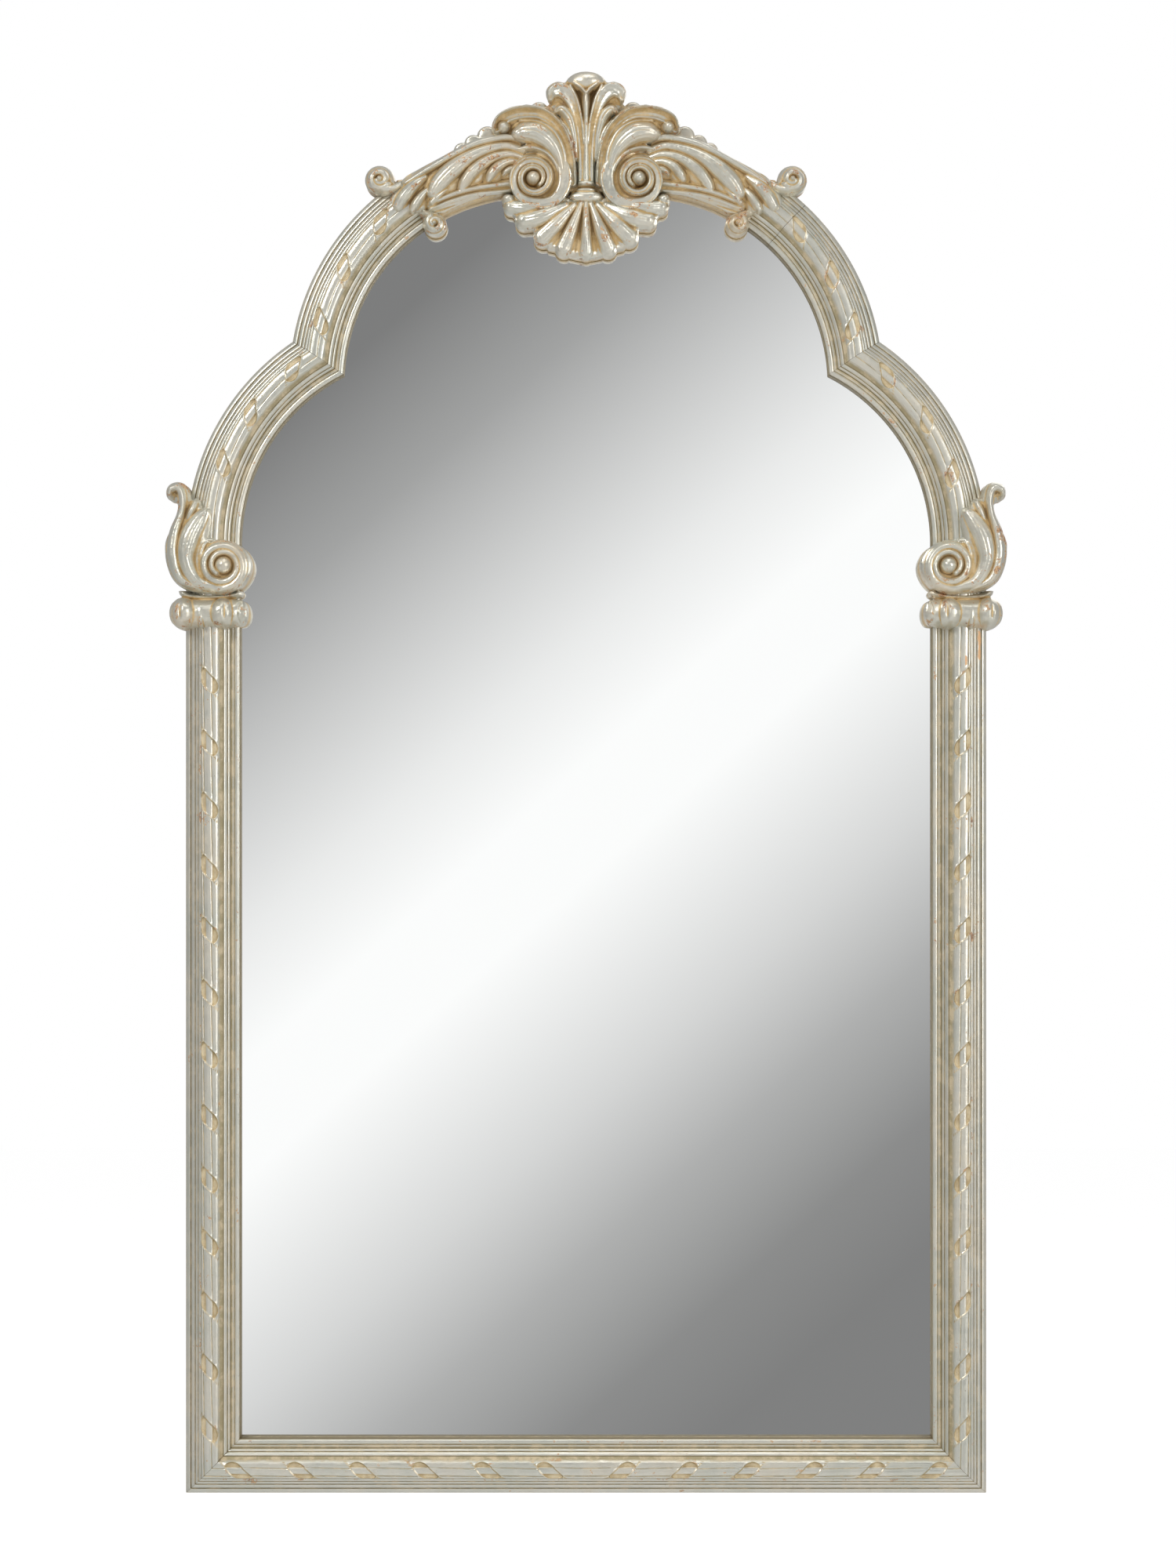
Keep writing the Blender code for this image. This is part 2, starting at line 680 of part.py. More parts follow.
def crest_board():
    """The board with a stub of moulding at each end, rabbeted behind like the rest."""
    stub = along_arc(SOLID_SECTION, ARCH_CENTRE, *STUB_ANGLES)
    right = cut_at(loft(stub), SEAM_JOINT, -1)
    left = right.copy()
    bmesh.ops.scale(left, vec=(-1, 1, 1), verts=left.verts)
    bmesh.ops.reverse_faces(left, faces=left.faces)
    bm = fused([plate(board_plan(), 0, CREST_THICKNESS), right, left])
    cutters = [
        plate(opening_outline(BOARD_RABBET_WIDTH), -OVERRUN, BOARD_RABBET_DEPTH),
        plate(opening_outline(GLASS_RABBET_WIDTH), 0, GLASS_RABBET_HEIGHT),
        dowel_hole(SEAM_JOINT),
        dowel_hole(opposite_joint(SEAM_JOINT)),
        board_screw_hole(CREST_SCREW),
    ]
    return without(bm, cutters)


def stub_room(high):
    """The room that a stub of moulding needs, up to a height."""
    inside = MOULDING_WIDTH + GLUE_GAP
    section = [(-GLUE_GAP, -OVERRUN), (-GLUE_GAP, high), (inside, high), (inside, -OVERRUN)]
    return loft(along_arc(section, ARCH_CENTRE, *STUB_ANGLES))


# Carved relief: tables of places, half widths and rises, all in modules

ROUND_LEAF_SHARES = ((-1.0, 0.10), (-0.62, 0.78), (0.0, 1.0), (0.62, 0.78), (1.0, 0.10))
RIDGED_LEAF_SHARES = ((-1.0, 0.12), (-0.55, 0.55), (0.0, 1.0), (0.55, 0.55), (1.0, 0.12))
FOOT_WIDTH_SHARE = 0.85


def stroke(rows, anchor, low, ground, section_shares=ROUND_LEAF_SHARES, steps=2):
    """One leaf or roll along a curve. A row is a place, a half width and a rise."""
    line = curve_through([Vector(row) * MODULE for row in rows], steps)
    stations = []
    for i, here in enumerate(line):
        before = line[max(i - 1, 0)]
        after = line[min(i + 1, len(line) - 1)]
        along = (after.xy - before.xy).normalized()
        across = Vector((along.y, -along.x))
        top = [(side * here.z, ground + up * here.w) for side, up in section_shares]
        foot = here.z * FOOT_WIDTH_SHARE
        station = []
        for side, height in [(-foot, low), *top, (foot, low)]:
            spot = anchor + here.xy + across * side
            station.append(Vector((spot.x, -height, spot.y)))
        stations.append(station)
    return loft(stations)


def bulb(row, anchor, height):
    """An egg-shaped lobe. A row is a place, two radii and a depth."""
    x, z, wide, tall, deep = row
    bm = bmesh.new()
    bmesh.ops.create_uvsphere(bm, u_segments=ROUND_SIDES, v_segments=ROUND_SIDES // 2, radius=1)
    size = Matrix.Diagonal((wide * MODULE, deep * MODULE, tall * MODULE, 1))
    facing = Matrix.Rotation(math.radians(90), 4, "X")
    middle = drawn([(x, z)], anchor)[0]
    spot = Matrix.Translation((middle.x, -height, middle.y))
    bmesh.ops.transform(bm, matrix=spot @ size @ facing, verts=bm.verts)
    return bm


def spiral_rows(centre, eye, start, turns, per_turn, radii, widths, rises):
    """Rows for a stroke that winds in to an eye. Each pair holds its first and last value."""
    count = math.ceil(abs(turns) * per_turn)
    rows = []
    for i in range(count + 1):
        t = i / count
        angle = start + math.tau * turns * t
        radius = radii[0] + (radii[1] - radii[0]) * t
        x = centre[0] + (eye[0] - centre[0]) * t + radius * math.cos(angle)
        z = centre[1] + (eye[1] - centre[1]) * t + radius * math.sin(angle)
        width = widths[0] + (widths[1] - widths[0]) * t
        rise = rises[0] + (rises[1] - rises[0]) * t
        rows.append((x, z, width, rise))
    return rows


def flipped(tables):
    return [[(-x, z, width, rise) for x, z, width, rise in rows] for rows in tables]


def leaves(tables, anchor, low, ground, section_shares, steps=2):
    return [stroke(rows, anchor, low, ground, section_shares, steps) for rows in tables]


def carving(plan, low, ground, strokes, solver="EXACT"):
    """Strokes on a ground, trimmed to the plan."""
    bm = fused([plate(grown(plan, OVERRUN), low - OVERRUN, ground), *strokes])
    return within(bm, plate(plan, low, RISE_LIMIT), solver)


def scribes(plans, low, high=RISE_LIMIT + OVERRUN):
    """Cutters that keep a piece clear of the plans of its neighbours."""
    return [plate(grown(plan, GLUE_GAP), low, high) for plan in plans]


LEAF_FOOT = GROUND + LEAF_GROUND / 2
LEAF_TOP = GROUND + LEAF_GROUND

# Volutes of the crest

VOLUTE_CENTRE_SHARES = (0.58, 0.16)
VOLUTE_RADIUS_SHARE = 0.40
VOLUTE_EYE_SHARES = (0.67, 0.15, 0.085, 0.085, 0.17)
VOLUTE_SPIRAL_SHARES = {"radii": (0.345, 0.125), "widths": (0.058, 0.030), "rises": (0.17, 0.19)}
VOLUTE_TURNS = 2.2
VOLUTE_START = math.radians(100)
VOLUTE_GROUND = 0.007
VOLUTE_PLAN = disc(drawn([VOLUTE_CENTRE_SHARES], CREST_ANCHOR)[0], VOLUTE_RADIUS_SHARE * MODULE)
VOLUTE_PLANS = [VOLUTE_PLAN, opposite(VOLUTE_PLAN)]


def volute():
    ground = GROUND + VOLUTE_GROUND
    rows = spiral_rows(
        VOLUTE_CENTRE_SHARES,
        VOLUTE_EYE_SHARES,
        VOLUTE_START,
        VOLUTE_TURNS,
        12,
        **VOLUTE_SPIRAL_SHARES,
    )
    strokes = [
        stroke(rows, CREST_ANCHOR, LEAF_FOOT, ground, steps=1),
        bulb(VOLUTE_EYE_SHARES, CREST_ANCHOR, ground),
    ]
    return carving(VOLUTE_PLAN, GROUND, ground, strokes)


# Hooked leaves that rise beside the plume and curl out over the volutes

HOOKED_LEAF_PLAN_SHARES = (
    (0.12, 0.10),
    (0.14, 0.45),
    (0.20, 0.75),
    (0.32, 0.94),
    (0.50, 1.06),
    (0.72, 1.10),
    (0.95, 1.05),
    (1.12, 0.97),
    (1.20, 0.84),
    (1.16, 0.72),
    (1.02, 0.70),
    (0.84, 0.66),
    (0.60, 0.60),
    (0.42, 0.40),
    (0.30, 0.10),
)
HOOKED_LEAF_SHARES = (
    (
        (0.17, 0.14, 0.045, 0.10),
        (0.22, 0.45, 0.05, 0.14),
        (0.36, 0.76, 0.06, 0.19),
        (0.60, 0.98, 0.07, 0.24),
        (0.88, 1.00, 0.08, 0.26),
        (1.10, 0.88, 0.07, 0.24),
        (1.08, 0.75, 0.04, 0.20),
    ),
    (
        (0.22, 0.16, 0.04, 0.10),
        (0.28, 0.50, 0.06, 0.16),
        (0.44, 0.74, 0.09, 0.22),
        (0.66, 0.78, 0.11, 0.22),
        (0.86, 0.74, 0.05, 0.18),
    ),
    (
        (0.27, 0.14, 0.03, 0.10),
        (0.32, 0.40, 0.04, 0.14),
        (0.46, 0.56, 0.045, 0.16),
        (0.60, 0.62, 0.03, 0.14),
    ),
)
HOOKED_LEAF_PLAN = drawn(HOOKED_LEAF_PLAN_SHARES, CREST_ANCHOR)


def hooked_leaf():
    strokes = leaves(HOOKED_LEAF_SHARES, CREST_ANCHOR, LEAF_FOOT, LEAF_TOP, RIDGED_LEAF_SHARES)
    bm = carving(HOOKED_LEAF_PLAN, GROUND, LEAF_TOP, strokes)
    return without(bm, scribes([VOLUTE_PLAN], 0))


# Plume: a fan of leaves over the tie, on the middle of the crest

PLUME_PLAN_SHARES = (
    (0.00, -0.15),
    (0.14, -0.14),
    (0.23, -0.10),
    (0.16, 0.02),
    (0.11, 0.10),
    (0.13, 0.46),
    (0.19, 0.76),
    (0.31, 0.955),
    (0.40, 1.02),
    (0.49, 1.17),
    (0.51, 1.28),
    (0.45, 1.36),
    (0.36, 1.395),
    (0.27, 1.385),
    (0.22, 1.46),
    (0.12, 1.52),
    (0.00, 1.535),
)
PLUME_STEM_SHARES = (
    (0.0, 0.12, 0.05, 0.10),
    (0.0, 0.50, 0.045, 0.14),
    (0.0, 0.90, 0.05, 0.18),
    (0.0, 1.25, 0.10, 0.22),
    (0.0, 1.42, 0.24, 0.22),
    (0.0, 1.51, 0.20, 0.10),
)
PLUME_LEAF_SHARES = (
    (
        (0.07, 0.14, 0.03, 0.08),
        (0.07, 0.60, 0.035, 0.13),
        (0.13, 1.00, 0.05, 0.18),
        (0.24, 1.27, 0.08, 0.22),
        (0.38, 1.30, 0.08, 0.20),
        (0.46, 1.20, 0.03, 0.14),
    ),
    (
        (0.11, 0.43, 0.025, 0.08),
        (0.15, 0.78, 0.055, 0.12),
        (0.22, 1.00, 0.065, 0.16),
        (0.34, 1.06, 0.04, 0.16),
        (0.38, 0.98, 0.02, 0.10),
    ),
)
TIE_SHARES = ((0.0, 0.08, 0.12, 0.05, 0.12), (0.0, -0.06, 0.21, 0.08, 0.10))
PLUME_PLAN = both_sides(drawn(PLUME_PLAN_SHARES, CREST_ANCHOR))


def plume():
    tables = [PLUME_STEM_SHARES, *PLUME_LEAF_SHARES, *flipped(PLUME_LEAF_SHARES)]
    strokes = leaves(tables, CREST_ANCHOR, LEAF_FOOT, LEAF_TOP, RIDGED_LEAF_SHARES, 1)
    strokes += [bulb(row, CREST_ANCHOR, LEAF_TOP) for row in TIE_SHARES]
    bm = carving(PLUME_PLAN, GROUND, LEAF_TOP, strokes, "MANIFOLD")
    neighbours = [*VOLUTE_PLANS, HOOKED_LEAF_PLAN, opposite(HOOKED_LEAF_PLAN)]
    return without(bm, scribes(neighbours, 0))


# Curls at the ends of the crest: the ear outside the arch and the drop inside it

CURL_SPIRAL_SHARES = {"widths": (0.045, 0.030), "rises": (0.10, 0.12)}
CURL_RADII_SHARES = (0.72, 0.36)
CURL_EYE_RADIUS_SHARE = 0.32
CURL_EYE_RISE_SHARE = 0.14
EAR_CURL_SHARES = (2.63, 0.15)
EAR_CURL_RADIUS_SHARE = 0.19
EAR_CURL_START = math.radians(220)
DROP_CURL_SHARES = (1.93, -0.41)
DROP_CURL_RADIUS_SHARE = 0.15
DROP_CURL_START = math.radians(60)
CURL_TURNS = 1.2
EAR_CURL_PLAN = disc(
    drawn([EAR_CURL_SHARES], CREST_ANCHOR)[0], EAR_CURL_RADIUS_SHARE * MODULE
)
DROP_CURL_PLAN = disc(
    drawn([DROP_CURL_SHARES], CREST_ANCHOR)[0], DROP_CURL_RADIUS_SHARE * MODULE
)


def curl(centre, plan, radius, low, ground, start, turns):
    radii = tuple(radius * share for share in CURL_RADII_SHARES)
    rows = spiral_rows(centre, centre, start, turns, 12, radii, **CURL_SPIRAL_SHARES)
    eye = radius * CURL_EYE_RADIUS_SHARE
    strokes = [
        stroke(rows, CREST_ANCHOR, (low + ground) / 2, ground, steps=1),
        bulb((*centre, eye, eye, CURL_EYE_RISE_SHARE), CREST_ANCHOR, ground),
    ]
    return carving(plan, low, ground, strokes)


def ear_curl():
    ground = CREST_THICKNESS + LEAF_GROUND
    bm = curl(
        EAR_CURL_SHARES,
        EAR_CURL_PLAN,
        EAR_CURL_RADIUS_SHARE,
        SCROLL_FOOT_HEIGHT,
        ground,
        EAR_CURL_START,
        CURL_TURNS,
    )
    edge = EDGE_HEIGHT + OUTER_REED_WIDTHS[0]
    cutters = scribes([board_plan()], 0, GROUND)
    cutters += scribes([opening_outline(MOULDING_WIDTH)], 0, edge)
    return without(bm, cutters)


def drop_curl():
    bm = curl(
        DROP_CURL_SHARES,
        DROP_CURL_PLAN,
        DROP_CURL_RADIUS_SHARE,
        OVERHANG_HEIGHT,
        LEAF_TOP,
        DROP_CURL_START,
        -CURL_TURNS,
    )
    return without(bm, [stub_room(GROUND), *scribes([board_plan()], 0, GROUND)])


# Acanthus sprays that run out from the volutes to the ends of the crest

SPRAY_EDGE_SHARES = (
    (0.90, 0.04),
    (1.00, 0.50),
    (1.12, 0.73),
    (1.38, 0.65),
    (1.71, 0.51),
    (1.90, 0.41),
    (2.10, 0.31),
    (2.30, 0.20),
    (2.42, 0.05),
    (2.52, -0.12),
    (2.47, -0.22),
    (2.30, -0.25),
    (2.08, -0.27),
)
SPRAY_FOOT_ANGLES = (math.radians(62), math.radians(78))
SPRAY_LEAF_SHARES = (
    (
        (1.06, 0.66, 0.05, 0.14),
        (1.40, 0.60, 0.05, 0.14),
        (1.75, 0.44, 0.045, 0.14),
        (2.10, 0.24, 0.045, 0.15),
        (2.36, 0.06, 0.03, 0.13),
    ),
    (
        (1.08, 0.60, 0.05, 0.12),
        (1.45, 0.50, 0.07, 0.17),
        (1.80, 0.32, 0.08, 0.19),
        (2.06, 0.16, 0.03, 0.12),
    ),
    (
        (1.10, 0.52, 0.05, 0.12),
        (1.40, 0.42, 0.08, 0.17),
        (1.75, 0.20, 0.11, 0.20),
        (1.95, -0.02, 0.08, 0.16),
        (1.98, -0.12, 0.03, 0.10),
    ),
    (
        (1.08, 0.46, 0.04, 0.12),
        (1.35, 0.36, 0.07, 0.16),
        (1.60, 0.18, 0.08, 0.17),
        (1.76, -0.02, 0.03, 0.10),
    ),
    (
        (1.04, 0.44, 0.04, 0.10),
        (1.22, 0.36, 0.06, 0.14),
        (1.38, 0.22, 0.06, 0.14),
        (1.45, 0.12, 0.02, 0.08),
    ),
    (
        (2.06, 0.14, 0.03, 0.10),
        (2.21, 0.03, 0.05, 0.16),
        (2.28, -0.13, 0.05, 0.15),
        (2.26, -0.30, 0.03, 0.13),
    ),
    (
        (2.15, 0.13, 0.03, 0.11),
        (2.33, 0.01, 0.055, 0.17),
        (2.45, -0.12, 0.05, 0.16),
        (2.46, -0.27, 0.03, 0.13),
    ),
    (
        (0.98, 0.08, 0.03, 0.08),
        (1.40, 0.03, 0.035, 0.09),
        (1.70, -0.05, 0.035, 0.09),
        (1.94, -0.15, 0.02, 0.07),
    ),
)


def spray():
    foot = arc(ARCH_CENTRE, ARCH_RADIUS + SPRAY_MARGIN, *SPRAY_FOOT_ANGLES)
    plan = foot + drawn(SPRAY_EDGE_SHARES, CREST_ANCHOR)
    strokes = leaves(SPRAY_LEAF_SHARES, CREST_ANCHOR, LEAF_FOOT, LEAF_TOP, ROUND_LEAF_SHARES, 1)
    bm = carving(plan, GROUND, LEAF_TOP, strokes)
    cutters = scribes([VOLUTE_PLAN, HOOKED_LEAF_PLAN, DROP_CURL_PLAN], 0)
    cutters.append(stub_room(TORUS_CROWN + GLUE_GAP))
    return without(bm, cutters)


# Shell: hangs from the edge of the crest board in front of the glass

SHELL_PLAN_SHARES = (
    (0.00, -0.86),
    (0.15, -0.84),
    (0.22, -0.82),
    (0.30, -0.785),
    (0.35, -0.76),
    (0.42, -0.745),
    (0.48, -0.73),
    (0.51, -0.70),
    (0.61, -0.655),
    (0.67, -0.58),
    (0.68, -0.48),
    (0.80, -0.45),
    (0.88, -0.38),
    (0.92, -0.32),
    (0.98, -0.26),
    (1.05, -0.20),
    (1.07, -0.12),
    (1.00, -0.06),
    (1.00, 0.02),
    (0.00, 0.02),
)
SHELL_MIDDLE_SHARES = ((0.0, -0.16, 0.04, 0.12), (0.0, -0.50, 0.07, 0.18), (0.0, -0.82, 0.12, 0.11))
SHELL_RIB_SHARES = (
    ((0.05, -0.16, 0.03, 0.10), (0.16, -0.48, 0.05, 0.16), (0.24, -0.80, 0.07, 0.10)),
    ((0.10, -0.16, 0.03, 0.10), (0.26, -0.45, 0.05, 0.15), (0.42, -0.73, 0.07, 0.10)),
    ((0.18, -0.20, 0.04, 0.10), (0.40, -0.44, 0.08, 0.15), (0.60, -0.60, 0.09, 0.10)),
    ((0.26, -0.24, 0.05, 0.10), (0.58, -0.34, 0.10, 0.15), (0.82, -0.36, 0.09, 0.10)),
    ((0.40, -0.22, 0.05, 0.08), (0.75, -0.26, 0.08, 0.13), (1.00, -0.15, 0.07, 0.08)),
)


def shell():
    plan = both_sides(drawn(SHELL_PLAN_SHARES, CREST_ANCHOR))
    tables = [SHELL_MIDDLE_SHARES, *SHELL_RIB_SHARES, *flipped(SHELL_RIB_SHARES)]
    foot = (OVERHANG_HEIGHT + GROUND) / 2
    strokes = leaves(tables, CREST_ANCHOR, foot, GROUND, ROUND_LEAF_SHARES, 1)
    bm = carving(plan, OVERHANG_HEIGHT, GROUND, strokes)
    cutters = scribes([*VOLUTE_PLANS, PLUME_PLAN], CREST_THICKNESS)
    cutters += scribes([board_plan()], 0)
    return without(bm, cutters)


# Cresting: a row of small lobes along the top edge of the crest board

CRESTING_LOBE_SHARES = (
    (0.60, 1.05, 0.13),
    (0.76, 1.00, 0.15),
    (0.93, 0.94, 0.12),
    (1.08, 0.85, 0.12),
    (1.26, 0.73, 0.14),
    (1.44, 0.64, 0.12),
    (1.58, 0.54, 0.12),
)


def cresting():
    lobes = []
    for x, z, radius_share in CRESTING_LOBE_SHARES:
        middle = drawn([(x, z)], CREST_ANCHOR)[0]
        radius = radius_share * MODULE
        profile = [
            (radius, 0),
            (radius, CRESTING_THICKNESS - CRESTING_ROUND),
            (radius - CRESTING_ROUND, CRESTING_THICKNESS),
        ]
        start = Vector((middle.x, -SCROLL_FOOT_HEIGHT, middle.y))
        lobes.append(turned(profile, start, INTO_FRAME))
    bm = fused(lobes)
    return without(bm, scribes([board_plan(), PLUME_PLAN], 0))


# Shoulders: the capital on the stile and the scroll above it, both over the moulding

def moulding_envelope():
    """The room that the moulding and the glass need behind the shoulder carvings."""
    outer_edge = EDGE_HEIGHT + OUTER_REED_WIDTHS[0] * REED_RISE_SHARE
    inner_edge = SIGHT_HEIGHT + SIGHT_REED_WIDTH * ROD_RISE_SHARE + GLUE_GAP
    crown = TORUS_CROWN + GLUE_GAP
    inside = MOULDING_WIDTH + GLUE_GAP
    past_carvings = MOULDING_WIDTH + MODULE / 2
    section = [
        (-GLUE_GAP, -OVERRUN),
        (-GLUE_GAP, outer_edge),
        (TORUS_START, crown),
        (TORUS_END, crown),
        (inside, inner_edge),
        (inside, OVERHANG_HEIGHT),
        (past_carvings, OVERHANG_HEIGHT),
        (past_carvings, -OVERRUN),
    ]
    stations = [on_stile(section, STILE_JOINT_Z - MODULE)]
    stations += along_arc(section, SPRING_CENTRE, 0, 6 * ARC_STEP)
    return loft(stations)


SCROLL_PLAN_SHARES = (
    (-0.166, -0.645),
    (0.05, -0.66),
    (0.30, -0.62),
    (0.47, -0.50),
    (0.56, -0.30),
    (0.585, -0.10),
    (0.57, 0.03),
    (0.50, 0.18),
    (0.44, 0.34),
    (0.42, 0.46),
    (0.46, 0.51),
    (0.54, 0.54),
    (0.57, 0.62),
    (0.53, 0.72),
    (0.43, 0.76),
    (0.33, 0.73),
    (0.27, 0.63),
    (0.24, 0.54),
    (0.19, 0.56),
    (0.13, 0.51),
    (0.11, 0.43),
    (0.04, 0.42),
    (0.00, 0.38),
    (-0.01, 0.25),
    (0.02, 0.02),
    (-0.08, 0.03),
    (-0.20, 0.02),
    (-0.34, -0.03),
    (-0.45, -0.13),
    (-0.51, -0.28),
    (-0.48, -0.44),
    (-0.38, -0.58),
    (-0.27, -0.63),
)
SCROLL_LEAF_SHARES = (
    (
        (-0.03, -0.58, 0.05, 0.10),
        (0.22, -0.46, 0.09, 0.15),
        (0.33, -0.20, 0.10, 0.20),
        (0.27, 0.07, 0.12, 0.20),
        (0.15, 0.28, 0.11, 0.16),
        (0.06, 0.38, 0.03, 0.10),
    ),
    (
        (0.20, -0.58, 0.03, 0.08),
        (0.44, -0.36, 0.06, 0.13),
        (0.50, -0.08, 0.06, 0.15),
        (0.42, 0.20, 0.05, 0.13),
        (0.36, 0.42, 0.045, 0.13),
        (0.34, 0.58, 0.05, 0.15),
        (0.41, 0.68, 0.055, 0.16),
        (0.50, 0.65, 0.05, 0.16),
        (0.51, 0.59, 0.03, 0.12),
    ),
    (
        (0.30, 0.24, 0.04, 0.08),
        (0.24, 0.38, 0.05, 0.13),
        (0.19, 0.52, 0.025, 0.09),
    ),
)
SCROLL_EYE_SHARES = (-0.166, -0.30, 0.11, 0.11, 0.15)
SCROLL_CENTRE_SHARES = (-0.13, -0.31)
SCROLL_SPIRAL_SHARES = {"radii": (0.335, 0.155), "widths": (0.055, 0.035), "rises": (0.12, 0.15)}
SCROLL_TURNS = -1.9
SCROLL_START = math.radians(-50)


def shoulder_scroll():
    plan = drawn(SCROLL_PLAN_SHARES, SHOULDER_ANCHOR)
    ground = SCROLL_GROUND_HEIGHT
    foot = (ground + TORUS_FOOT_HEIGHT) / 2
    rows = spiral_rows(
        SCROLL_CENTRE_SHARES,
        SCROLL_EYE_SHARES,
        SCROLL_START,
        SCROLL_TURNS,
        12,
        **SCROLL_SPIRAL_SHARES,
    )
    strokes = leaves(SCROLL_LEAF_SHARES, SHOULDER_ANCHOR, foot, ground, ROUND_LEAF_SHARES, 1)
    strokes.append(stroke(rows, SHOULDER_ANCHOR, foot, ground, steps=1))
    strokes.append(bulb(SCROLL_EYE_SHARES, SHOULDER_ANCHOR, ground))
    bm = carving(plan, SCROLL_FOOT_HEIGHT, ground, strokes)
    return without(bm, [moulding_envelope()])


CAPITAL_BULB_SHARES = (
    (-0.15, -0.91, 0.20, 0.23, 0.22),
    (0.095, -0.93, 0.08, 0.22, 0.20),
    (0.32, -0.91, 0.20, 0.23, 0.22),
)
CAPITAL_SIDE_BULB_SHARES = (
    (-0.36, -0.92, 0.10, 0.19, 0.17),
    (0.43, -0.92, 0.10, 0.19, 0.17),
)
CAPITAL_CORE_SHARES = ((-0.42, -1.10), (0.46, -1.10), (0.46, -0.69), (-0.42, -0.69))


def capital():
    outline = drawn(CAPITAL_CORE_SHARES, SHOULDER_ANCHOR)
    core = plate(outline, SCROLL_FOOT_HEIGHT, SCROLL_GROUND_HEIGHT)
    bulbs = [bulb(row, SHOULDER_ANCHOR, TORUS_FOOT_HEIGHT) for row in CAPITAL_BULB_SHARES]
    bulbs += [bulb(row, SHOULDER_ANCHOR, EDGE_HEIGHT) for row in CAPITAL_SIDE_BULB_SHARES]
    return without(fused([core, *bulbs]), [moulding_envelope()])


# Glass, the blocks that it stands on, and the back board

def setting_block():
    rabbet = SIGHT_BOTTOM_Z - GLASS_RABBET_WIDTH
    low = Vector((SIGHT_HALF_WIDTH / 2, rabbet + GLUE_GAP))
    high = Vector((low.x + BLOCK_LENGTH, rabbet + GLASS_CLEARANCE - GLUE_GAP))
    outline = [low, Vector((high.x, low.y)), high, Vector((low.x, high.y))]
    back = BOARD_RABBET_DEPTH + GLUE_GAP
    return plate(outline, back, back + BLOCK_WIDTH)


def mirror_glass():
    outline = opening_outline(GLASS_RABBET_WIDTH - GLASS_CLEARANCE)
    return plate(outline, BOARD_RABBET_DEPTH, BOARD_RABBET_DEPTH + GLASS_THICKNESS)


def back_board():
    outline = opening_outline(BOARD_RABBET_WIDTH - BOARD_CLEARANCE)
    heads = [CREST_SCREW]
    for head in BOARD_SCREWS.values():
        heads += [head, mirrored(head)]
    bm = plate(outline, GLUE_GAP, GLUE_GAP + BOARD_THICKNESS)
    return without(bm, [board_screw_hole(head) for head in heads])


def bumper():
    start = (HANGER_X, GLUE_GAP, BOTTOM_Z + BUMPER_HEIGHT)
    return turned([(BUMPER_RADIUS, 0), (BUMPER_RADIUS, BUMPER_THICKNESS)], start, OUT_OF_FRAME)


# Assembly

place("bottom_rail", bottom_rail(), SILVERED_WOOD)
place_pair("stile", stile(), SILVERED_WOOD)
place_pair("lower_arch", lower_arch(), SILVERED_WOOD)
place_pair("upper_arch", upper_arch(), SILVERED_WOOD)
place_pair("corner_dowel", dowel(CORNER_JOINT), PLAIN_WOOD, CORNER_JOINT[0])
place_pair("stile_dowel", dowel(STILE_JOINT), PLAIN_WOOD, STILE_JOINT[0])
place_pair("cusp_dowel", dowel(CUSP_JOINT), PLAIN_WOOD, CUSP_JOINT[0])
place_pair("seam_dowel", dowel(SEAM_JOINT), PLAIN_WOOD, SEAM_JOINT[0])

CREST_ORIGIN = (CREST_ANCHOR.x, 0, CREST_ANCHOR.y)
place("crest_board", crest_board(), SILVERED_WOOD, CREST_ORIGIN)
place("shell", shell(), SILVERED_WOOD, CREST_ORIGIN)
place("plume", plume(), SILVERED_WOOD, CREST_ORIGIN)
place_pair("volute", volute(), SILVERED_WOOD, CREST_ORIGIN)
place_pair("hooked_leaf", hooked_leaf(), SILVERED_WOOD, CREST_ORIGIN)
place_pair("spray", spray(), SILVERED_WOOD, CREST_ORIGIN)
place_pair("cresting", cresting(), SILVERED_WOOD, CREST_ORIGIN)
place_pair("ear_curl", ear_curl(), SILVERED_WOOD, CREST_ORIGIN)
place_pair("drop_curl", drop_curl(), SILVERED_WOOD, CREST_ORIGIN)

SHOULDER_ORIGIN = (SHOULDER_ANCHOR.x, 0, SHOULDER_ANCHOR.y)
place_pair("shoulder_scroll", shoulder_scroll(), SILVERED_WOOD, SHOULDER_ORIGIN)
place_pair("capital", capital(), SILVERED_WOOD, SHOULDER_ORIGIN)

place("mirror_glass", mirror_glass(), SILVERED_GLASS)
place_pair("setting_block", setting_block(), RUBBER)
place("back_board", back_board(), PLYWOOD)
place("crest_board_screw", board_screw(CREST_SCREW), PLATED_STEEL, CREST_SCREW)
for spot, head in BOARD_SCREWS.items():
    place_pair(f"{spot}_screw", board_screw(head), PLATED_STEEL, head)

place_pair("hanger_strap", hanger_strap(), PLATED_STEEL, HANGER_HINGE)
place_pair("hanger_ring", hanger_ring(), PLATED_STEEL, HANGER_HINGE)
for spot, drop in zip(("upper", "lower"), HANGER_SCREW_DROPS):
    place_pair(f"{spot}_hanger_screw", hanger_screw(drop), PLATED_STEEL)
place_pair("bumper", bumper(), RUBBER)
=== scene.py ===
"""Looks of the silvered wood mirror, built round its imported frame."""

import math

